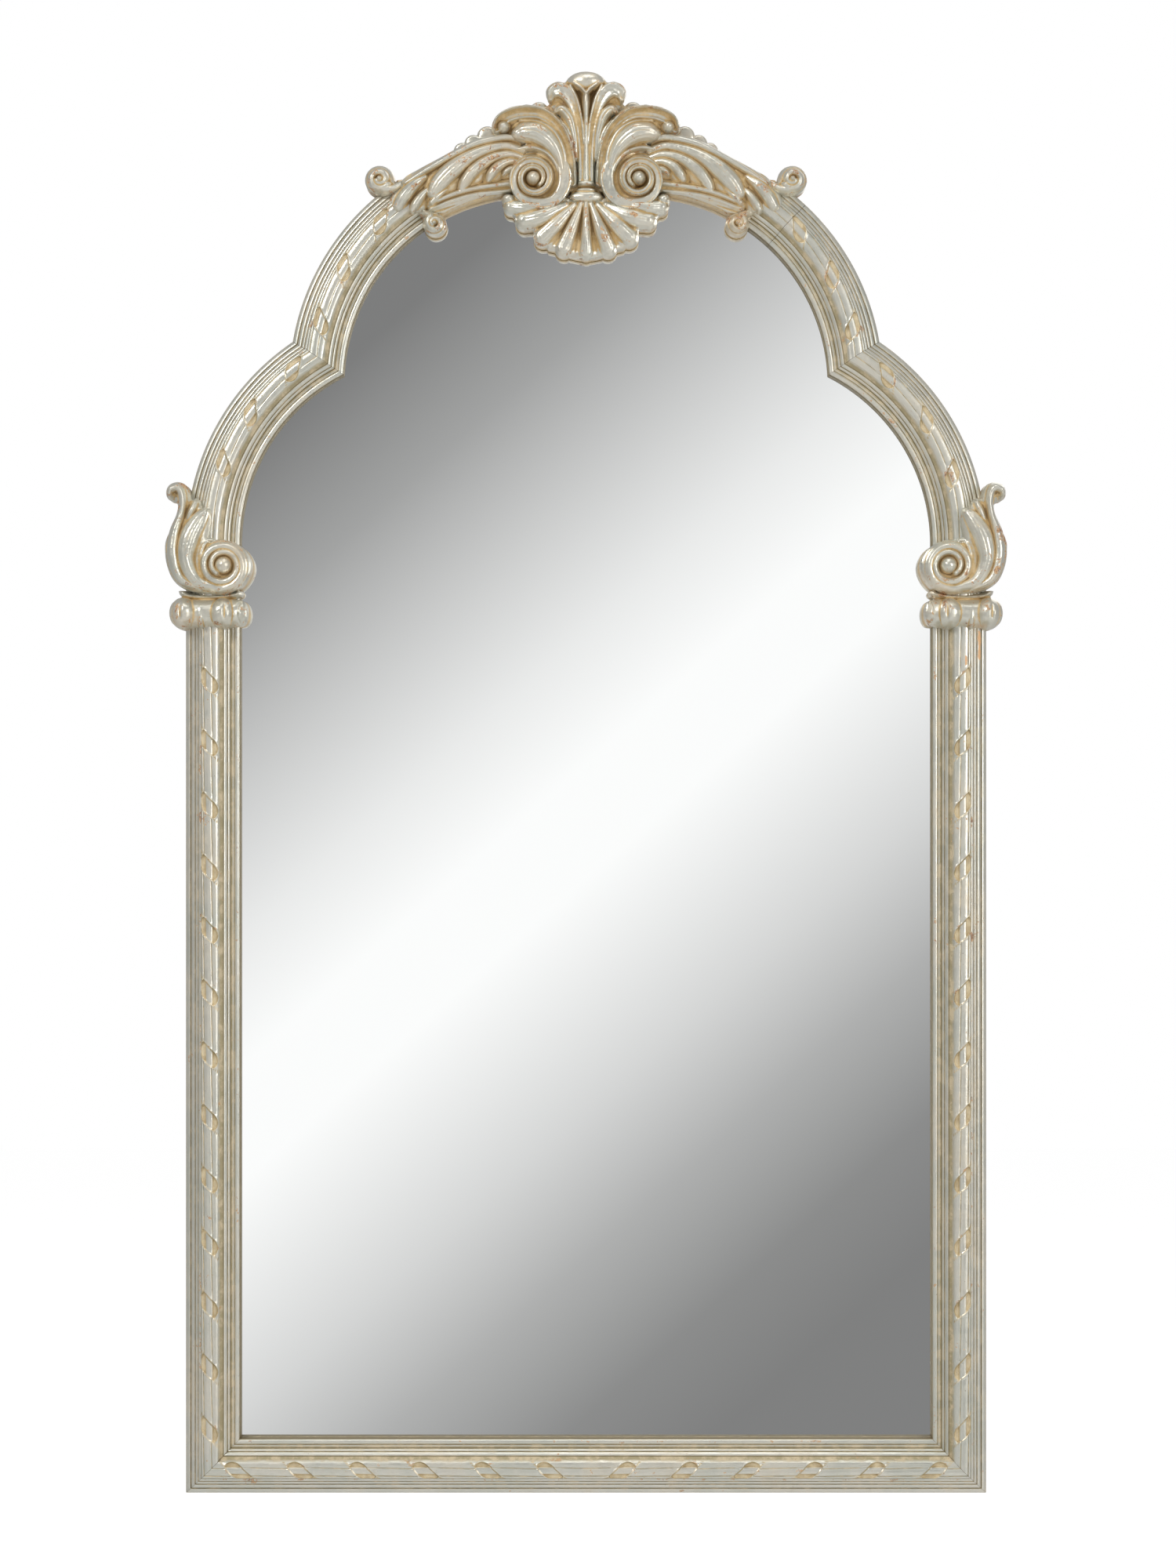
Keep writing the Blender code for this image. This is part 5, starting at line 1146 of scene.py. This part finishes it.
# Shell
shell_half = drawn((
    (0.00, -0.86), (0.15, -0.84), (0.22, -0.82), (0.30, -0.785), (0.35, -0.76), (0.42, -0.745),
    (0.48, -0.73), (0.51, -0.70), (0.61, -0.655), (0.67, -0.58), (0.68, -0.48), (0.80, -0.45),
    (0.88, -0.38), (0.92, -0.32), (0.98, -0.26), (1.04, -0.20), (1.06, -0.13), (1.02, -0.07),
    (0.92, -0.04), (0.70, -0.04), (0.40, -0.05),
))
shell_side = [
    leaf([(.06, -.16, .040, .10), (.18, -.48, .090, .17), (.28, -.72, .118, .13)], fluted),
    leaf([(.15, -.18, .045, .10), (.38, -.42, .110, .18), (.55, -.58, .125, .14)], fluted),
    leaf([(.26, -.18, .060, .10), (.56, -.33, .125, .20), (.79, -.375, .118, .16)], tongue),
    leaf([(.40, -.14, .060, .10), (.74, -.21, .105, .17), (.96, -.20, .095, .13)], tongue),
    ball((.99, -.10, .085, .075, .14)),
]
carved(
    "shell", both_halves(shell_half), LEAF_GROUND - 0.003,
    [
        leaf([(0, -.16, .040, .12), (0, -.50, .065, .19), (0, -.77, .100, .14)], fluted),
        *shell_side, *[mirrored_part(part) for part in shell_side],
    ],
    foot_of("shell"), sides=("",), round_over=0.004,
)

# Small lobes along the top of the crest
lobes = ((.60, 1.05, .13), (.76, 1.00, .15), (.93, .94, .12), (1.08, .85, .12), (1.26, .73, .14),
         (1.44, .64, .12), (1.58, .54, .12))
low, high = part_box("cresting_right")
x, z = grid_over([(low.x, low.z), (high.x, high.z)], 0.002)
height, depth = np.full(x.shape, foot_of("cresting_right")), np.full(x.shape, -1.0)
for lobe_x, lobe_z, radius in lobes:
    top, inside = dome(x, z, (lobe_x, lobe_z, radius, radius, .07), CREST_FOOT, -low.y - 0.0055, 5.0)
    ripple = np.hypot(x - CREST_FOOT.x - lobe_x * MODULE, z - CREST_FOOT.y - (lobe_z - .1) * MODULE)
    top = top - 0.0004 * np.exp(-(((ripple / MODULE - radius * 1.25) / .03) ** 2))
    height, depth = np.maximum(height, top), np.maximum(depth, inside)
height = blurred(height, (0.5, 0.5))
for word in ("right", "left"):
    relief_piece(f"cresting_{word}_carving", f"cresting_{word}", x, z, height, depth,
                 foot_of("cresting_right"), 0.003, mirror=word == "left")

# Ear curls outside the arch and drop curls inside it
for name, centre, radius, start, turns, link in (
    ("ear_curl", (2.63, .15), .19, 220, 1.3,
     [(2.24, .15, .040, .10), (2.35, .09, .052, .13), (2.46, .03, .062, .16), (2.58, .015, .068, .18)]),
    ("drop_curl", (1.93, -.41), .15, 60, -1.3,
     [(2.09, -.26, .050, .06), (2.04, -.28, .055, .11), (1.99, -.31, .060, .15)]),
):
    carved(
        name, round_plan(centre, radius, 40), LEAF_GROUND - 0.005,
        [
            leaf(spiral(centre, centre, math.radians(start), turns, (radius * .66, radius * .24),
                        (radius * .37, radius * .30), (.20, .20)), crown, LEAF_GROUND - 0.003),
            leaf(link, crown, LEAF_GROUND - 0.002),
            ball((*centre, radius * .26, radius * .26, .25), LEAF_GROUND - 0.003),
        ],
        foot_of(f"{name}_right"), smooth=False,
    )

# Shoulder scrolls: a volute with two leaves that climbs the outside of each lower arch, carved
# in one block and set over the moulding, with its foot on the capital.

SHOULDER_FOOT = Vector((0.347, 0.866))
shoulder_plan = drawn((
    (-.166, -.645), (.05, -.66), (.30, -.62), (.47, -.50), (.56, -.30), (.585, -.10), (.57, .03),
    (.50, .18), (.44, .34), (.42, .46), (.46, .51), (.54, .54), (.57, .62), (.53, .72), (.43, .76),
    (.33, .73), (.27, .63), (.24, .54), (.19, .56), (.13, .51), (.11, .43), (.04, .42), (0, .38),
    (-.01, .25), (.02, .02), (-.08, .03), (-.20, .02), (-.34, -.03), (-.45, -.13), (-.51, -.28),
    (-.48, -.44), (-.38, -.58), (-.27, -.63),
), SHOULDER_FOOT)
SCROLL_GROUND = 0.041


def on_shoulder(rows, shape=crown):
    return leaf(rows, shape, SCROLL_GROUND, SHOULDER_FOOT)


carved(
    "shoulder_scroll", shoulder_plan, SCROLL_GROUND - 0.002,
    [
        on_shoulder([(-.10, -.60, .050, .10), (.18, -.50, .095, .14), (.31, -.24, .120, .19),
                     (.27, .03, .145, .21), (.16, .25, .120, .18), (.07, .37, .070, .13)], tongue),
        on_shoulder([(.12, -.62, .035, .08), (.38, -.46, .075, .14), (.47, -.18, .095, .16),
                     (.45, .10, .085, .15), (.38, .34, .060, .14), (.35, .54, .060, .15),
                     (.40, .68, .068, .17), (.50, .66, .058, .18), (.52, .60, .040, .15)]),
        on_shoulder([(.30, .24, .04, .08), (.24, .38, .055, .13), (.19, .50, .035, .10)]),
        on_shoulder([(-.02, .02, .03, .06), (.07, .00, .04, .09), (.13, -.12, .05, .11),
                     (.14, -.32, .05, .11), (.05, -.52, .045, .10)], scooped),
        on_shoulder(spiral((-.13, -.31), (-.166, -.30), math.radians(-50), -2.0, (.300, .135),
                           (.078, .045), (.10, .14))),
        ball((-.166, -.30, .118, .118, .17), SCROLL_GROUND, SHOULDER_FOOT),
    ],
    foot_of("shoulder_scroll_right"), round_over=0.006,
)

# Capitals: a row of swelling lobes with darts between them, under each shoulder scroll. Each is
# carved in one block of limewood, boxed out at its back and glued over the stile.

capital_low, capital_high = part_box("capital_right")
left_edge = (capital_low.x - SHOULDER_FOOT.x) / MODULE
right_edge = (capital_high.x - SHOULDER_FOOT.x) / MODULE
capital_plan = drawn((
    (left_edge + .13, -.73), (0, -.71), (right_edge - .13, -.73), (right_edge - .09, -.80),
    (right_edge - .09, -1.01), (right_edge - .13, -1.08), (.10, -1.10), (left_edge + .13, -1.08),
    (left_edge + .07, -1.01), (left_edge + .07, -.80),
), SHOULDER_FOOT)
CAPITAL_GROUND = 0.031
CUSHION_RISE = 0.018
SLOT_DEPTH = 0.0022
NECKING_GROUND = 0.033


def bulb(middle, z_middle, wide, tall, deep, slot=None):
    """One swelling lobe, with a narrow slot cut down it."""
    def part(x, z):
        row = middle, z_middle, wide, tall, deep
        height, inside = dome(x, z, row, SHOULDER_FOOT, CAPITAL_GROUND - 0.001, 2.6)
        if slot is not None:
            across = (x - SHOULDER_FOOT.x) / MODULE - slot
            along = ((z - SHOULDER_FOOT.y) / MODULE - z_middle - 0.02) / 0.10
            height = height - SLOT_DEPTH * np.exp(-((across / 0.018) ** 2) - along**4)
        return height, inside
    return part


def cushion(x, z):
    """The swelling body that the lobes are cut in."""
    share = (z - SHOULDER_FOOT.y + 0.905 * MODULE) / (0.21 * MODULE)
    height = CAPITAL_GROUND + CUSHION_RISE * np.sqrt(np.clip(1 - share**2, 0, 1))
    return height, np.full(x.shape, -1.0)


carved(
    "capital", capital_plan, CAPITAL_GROUND,
    [
        cushion,
        bulb(-.150, -.905, .185, .215, .35, -.19), bulb(.345, -.905, .185, .215, .35, .375),
        bulb(.125, -.94, .052, .215, .27), bulb(.060, -.925, .050, .205, .25),
        bulb(left_edge + .085, -.905, .085, .165, .27), bulb(right_edge - .075, -.905, .075, .155, .22),
        leaf([(-.34, -.655, .050, .10), (-.26, -.68, .052, .11), (0, -.70, .055, .11),
              (.26, -.69, .052, .11), (.36, -.65, .050, .12), (.40, -.61, .034, .08)],
             crown, NECKING_GROUND, SHOULDER_FOOT),
        leaf([(-.27, -.745, .035, .09), (.42, -.745, .035, .09)], crown, NECKING_GROUND, SHOULDER_FOOT),
    ],
    foot_of("capital_right"), round_over=0.010,
)

# Mirror glass: one sheet of float glass silvered on its back, cut to the arches. It stands on two
# small blocks in the rabbet, and the back board holds it in.


def mirror_finish():
    made, tree, shader = plain_material("silvered glass")
    place = own_place(tree)
    dust = noise(tree, place, 60.0, 5.0, 0.6)
    spots = stepped(tree, noise(tree, place, 34.0, 6.0, 0.7), 0.74, 0.80)
    colour = blended(tree, spots, (0.93, 0.94, 0.935), (0.45, 0.42, 0.36))
    join(tree, colour, shader.inputs["Base Color"])
    shader.inputs["Metallic"].default_value = 1.0
    join(tree, stepped(tree, dust, 0.45, 0.8, 0.008, 0.035), shader.inputs["Roughness"])
    return made


def dress(node, material):
    """Gives a node that keeps its own shape its material."""
    mesh = nodes[node].data
    mesh.materials.clear()
    mesh.materials.append(material)


dress("mirror_glass", mirror_finish())

# Back board of thin plywood, let into its rabbet and held by countersunk screws. The setting blocks
# and the dowels of the glued joints are turned or sawn from beech.

PLYWOOD = wooden("plywood", (0.55, 0.40, 0.23), (0.37, 0.24, 0.12))
dress("back_board", PLYWOOD)
BEECH = wooden("beech", (0.60, 0.40, 0.24), (0.42, 0.25, 0.13))
for node in nodes:
    if "dowel" in node or "block" in node:
        dress(node, BEECH)

# Plated steel of the screws and of the hangers: a pressed strap on each stile, and a D-ring that
# swings in its rolled end.


def steel_finish(name, tint):
    made, tree, shader = plain_material(name)
    place = own_place(tree)
    cloud = noise(tree, place, 220.0, 4.0, 0.6)
    scratch = noise(tree, place, 900.0, 2.0, 0.6, (0.15, 1.0, 1.0))
    dark = tuple(c * 0.62 for c in tint)
    colour = blended(tree, stepped(tree, cloud, 0.4, 0.7), tint, dark)
    join(tree, colour, shader.inputs["Base Color"])
    shader.inputs["Metallic"].default_value = 1.0
    join(tree, stepped(tree, scratch, 0.3, 0.7, 0.24, 0.46), shader.inputs["Roughness"])
    bumped(tree, shader, scratch, 0.0001, 0.3)
    return made


STEEL = steel_finish("plated steel", (0.66, 0.64, 0.60))
for node in ("hanger_strap_left", "hanger_strap_right"):
    dress(node, STEEL)

# D-rings, bent from round wire and hanging down from the rolled end of the strap
WIRE_RADIUS = 0.00125
RING_HALF_WIDTH = 0.01125
RING_CORNER = 0.003
RING_STRAIGHT = 0.0035
WIRE_SIDES = 16


def arc_round(x, z, radius, start, end, steps):
    """Points of an arc, from one angle to another in degrees."""
    turn = np.radians(np.linspace(start, end, steps))
    return np.stack([x + radius * np.cos(turn), z + radius * np.sin(turn)], axis=-1)


def wire_ring(word):
    low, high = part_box(f"hanger_ring_{word}")
    hinge_x, hinge_y, hinge_z = (low.x + high.x) / 2, (low.y + high.y) / 2, high.z - WIRE_RADIUS
    side, drop = RING_HALF_WIDTH - RING_CORNER, hinge_z - RING_CORNER
    line = np.concatenate([
        arc_round(hinge_x + side, drop, RING_CORNER, 90, 0, 9),
        arc_round(hinge_x, drop - RING_STRAIGHT, RING_HALF_WIDTH, 0, -180, 40),
        arc_round(hinge_x - side, drop, RING_CORNER, 180, 90, 9),
    ])
    along = np.roll(line, -1, axis=0) - np.roll(line, 1, axis=0)
    along /= np.hypot(along[:, 0], along[:, 1])[:, None]
    across = np.stack([-along[:, 1], along[:, 0]], axis=-1)
    places, faces = [], []
    for i, (here, outward) in enumerate(zip(line, across)):
        following = (i + 1) % len(line)
        for j in range(WIRE_SIDES):
            turn, k = math.tau * j / WIRE_SIDES, (j + 1) % WIRE_SIDES
            x, z = here + outward * WIRE_RADIUS * math.cos(turn)
            places.append((x, hinge_y + WIRE_RADIUS * math.sin(turn), z))
            first, second = i * WIRE_SIDES, following * WIRE_SIDES
            faces.append((first + j, second + j, second + k, first + k))
    piece = mesh_piece(f"hanger_ring_{word}_wire", places, faces, [STEEL], {})
    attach(piece, f"ring_{word}")
    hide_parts(f"hanger_ring_{word}")


for word in ("right", "left"):
    wire_ring(word)

# Screws: turned, with a cross cut in the head, flat in the back board and domed on the hangers
SCREW_HEAD = 0.0028
SCREW_SHANK = 0.0014
SCREW_SIDES = 48
CROSS_ARM = 0.16
CROSS_REACH = 0.62
CROSS_DEPTH = 0.0008


def turned_screw(node, dome, neck):
    """A screw from its head on the wall side into the frame. dome and neck are heights."""
    low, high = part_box(node)
    middle = (low + high) / 2
    length = high.y - low.y
    shares = np.array([0.08, 0.14, 0.18, 0.30, 0.42, 0.54, 0.60, 0.66, 0.78, 0.90, 0.97, 1.0])
    drops = dome * (1 - np.sqrt(1 - 0.95 * shares**2))
    profile = list(zip(shares * SCREW_HEAD, drops)) + [
        (SCREW_SHANK, neck), (SCREW_SHANK, length - 2 * SCREW_SHANK), (SCREW_SHANK / 2, length - 0.0002),
    ]
    if dome:
        profile.insert(len(shares), (SCREW_HEAD, neck))
    turn = np.linspace(0, math.tau, SCREW_SIDES, endpoint=False)
    places = [(middle.x, high.y - CROSS_DEPTH, middle.z)]
    for radius, drop in profile:
        x, z = radius * np.cos(turn), radius * np.sin(turn)
        arm = np.minimum(np.abs(x), np.abs(z)) < CROSS_ARM * SCREW_HEAD
        cut = arm & (radius < CROSS_REACH * SCREW_HEAD) & (drop < neck)
        y = high.y - drop - np.where(cut, CROSS_DEPTH, 0)
        places += list(zip(middle.x + x, y, middle.z + z))
    places.append((middle.x, low.y, middle.z))
    faces = []
    for j in range(SCREW_SIDES):
        k = (j + 1) % SCREW_SIDES
        faces.append((0, 1 + k, 1 + j))
        for i in range(len(profile) - 1):
            near, far = 1 + i * SCREW_SIDES, 1 + (i + 1) * SCREW_SIDES
            faces.append((near + j, near + k, far + k, far + j))
        faces.append((far + j, far + k, len(places) - 1))
    piece = sharpened(mesh_piece(f"{node}_turned", places, faces, [STEEL], {}), 35)
    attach(piece, "frame")
    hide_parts(node)


for node in [name for name in nodes if "screw" in name]:
    if "hanger" in node:
        turned_screw(node, 0.0009, 0.0018)
    else:
        turned_screw(node, 0.0, SCREW_HEAD - SCREW_SHANK)

# Bumpers: small dark rubber pads, stuck on the stiles' backs at the bottom corners. They keep the
# frame off the wall and stop it from sliding.


def rubber_finish():
    made, tree, shader = plain_material("rubber")
    place = own_place(tree)
    bloom = noise(tree, place, 180.0, 4.0, 0.6)
    black = blended(tree, bloom, (0.035, 0.034, 0.032), (0.09, 0.088, 0.083))
    join(tree, black, shader.inputs["Base Color"])
    join(tree, stepped(tree, bloom, 0.3, 0.7, 0.55, 0.75), shader.inputs["Roughness"])
    return made


RUBBER = rubber_finish()
for node in ("bumper_left", "bumper_right"):
    dress(node, RUBBER)

# Room: a pale floor under the mirror, white all round, soft lamps from above and from the left,
# and a large card in front of the mirror, from pale grey to white, for it to reflect.

FLOOR_Z = -0.62


def seen(tree):
    """1 for what the camera sees, also through glass, and less for what metal reflects."""
    path = tree.nodes.new("ShaderNodeLightPath")
    glossy = reckon(tree, "MULTIPLY", path.outputs["Is Glossy Ray"], 0.15)
    direct = reckon(tree, "MAXIMUM", path.outputs["Is Camera Ray"], glossy)
    return reckon(tree, "MAXIMUM", direct, path.outputs["Is Transmission Ray"])


world = bpy.data.worlds.new("room")
world.use_nodes = True
bpy.context.scene.world = world
tree = world.node_tree
ground = tree.nodes["Background"]
ground.inputs["Color"].default_value = (1, 1, 1, 1)
path = tree.nodes.new("ShaderNodeLightPath")
strength = stepped(tree, path.outputs["Is Camera Ray"], 0.0, 1.0, 0.35, 1.0)
mirrored = reckon(tree, "MULTIPLY", path.outputs["Is Glossy Ray"], 0.05)
join(tree, reckon(tree, "ADD", strength, mirrored), ground.inputs["Strength"])


def quad(name, corners, material):
    mesh = bpy.data.meshes.new(name)
    mesh.from_pydata(corners, [], [(0, 1, 2, 3)])
    mesh.materials.append(material)
    made = bpy.data.objects.new(name, mesh)
    bpy.context.scene.collection.objects.link(made)
    made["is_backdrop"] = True
    return made


floor_paint, tree, shader = plain_material("floor")
shader.inputs["Base Color"].default_value = (0.86, 0.86, 0.86, 1)
shader.inputs["Roughness"].default_value = 0.95
shader.inputs["Emission Color"].default_value = (1, 1, 1, 1)
join(tree, reckon(tree, "MULTIPLY", seen(tree), 0.68), shader.inputs["Emission Strength"])
quad("floor", [(-9, -9, FLOOR_Z), (9, -9, FLOOR_Z), (9, 9, FLOOR_Z), (-9, 9, FLOOR_Z)], floor_paint)

card_paint = bpy.data.materials.new("reflected card")
card_paint.use_nodes = True
tree = card_paint.node_tree
tree.nodes.remove(tree.nodes["Principled BSDF"])
glow = tree.nodes.new("ShaderNodeEmission")
spot = tree.nodes.new("ShaderNodeSeparateXYZ")
join(tree, own_place(tree), spot.inputs[0])
across = reckon(tree, "MULTIPLY", reckon(tree, "SUBTRACT", spot.outputs[0], 0.0018), 0.640)
down = reckon(tree, "MULTIPLY", reckon(tree, "SUBTRACT", spot.outputs[2], 0.5755), -0.727)
slope = tree.nodes.new("ShaderNodeMapRange")
join(tree, reckon(tree, "ADD", across, down), slope.inputs["Value"])
slope.inputs["From Min"].default_value = -1.0
slope.inputs["From Max"].default_value = 1.0
ramp = tree.nodes.new("ShaderNodeValToRGB")
join(tree, slope.outputs["Result"], ramp.inputs["Fac"])
stops = ramp.color_ramp.elements
CARD_GREYS = (
    (0.04, 0.22), (0.16, 0.39), (0.37, 0.88), (0.46, 1.04), (0.54, 1.04), (0.70, 0.71), (0.80, 0.46),
    (0.91, 0.28), (1.0, 0.23),
)
while len(stops) < len(CARD_GREYS):
    stops.new(0.5)
for stop, (place, grey) in zip(stops, CARD_GREYS):
    stop.position = place
    stop.color = (grey, grey, grey, 1)
join(tree, ramp.outputs["Color"], glow.inputs["Color"])
join(tree, glow.outputs[0], tree.nodes["Material Output"].inputs["Surface"])
CARD_Y = -3.42
card = quad(
    "card",
    [(-2.6, CARD_Y, FLOOR_Z), (2.6, CARD_Y, FLOOR_Z), (2.6, CARD_Y, 3.2), (-2.6, CARD_Y, 3.2)],
    card_paint,
)
card.visible_camera = False
card.visible_diffuse = False
card.visible_shadow = False
card.visible_transmission = False


def lamp(name, place, target, size, power):
    data = bpy.data.lights.new(name, "AREA")
    data.shape = "RECTANGLE"
    data.size, data.size_y = size
    data.energy = power
    made = bpy.data.objects.new(name, data)
    made.location = place
    made.rotation_euler = (Vector(target) - Vector(place)).to_track_quat("-Z", "Y").to_euler()
    bpy.context.scene.collection.objects.link(made)


MIDDLE = (0, 0, 0.65)
lamp("key lamp", (-1.9, -2.1, 2.4), MIDDLE, (1.0, 1.0), 39)
lamp("fill lamp", (2.4, -2.0, 1.0), MIDDLE, (1.2, 1.6), 29)
lamp("top lamp", (0.2, -0.5, 3.0), MIDDLE, (1.6, 0.9), 10)
lamp("back lamp", (0.8, 2.6, 1.8), MIDDLE, (1.8, 1.8), 16)

# Camera: straight in front, at the middle of the picture, 3.3 m away
CAMERA_DISTANCE = 3.3
PICTURE_HEIGHT = 1.4546
camera_data = bpy.data.cameras.new("camera")
camera_data.sensor_fit = "VERTICAL"
camera_data.sensor_height = 24.0
camera_data.lens = 24.0 * CAMERA_DISTANCE / PICTURE_HEIGHT
camera = bpy.data.objects.new("camera", camera_data)
camera.location = (0.0018, -CAMERA_DISTANCE - 0.03, 0.642)
camera.rotation_euler = (math.radians(90), 0, 0)
bpy.context.scene.collection.objects.link(camera)
bpy.context.scene.camera = camera
bpy.context.scene.view_settings.view_transform = "Standard"

low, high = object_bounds()
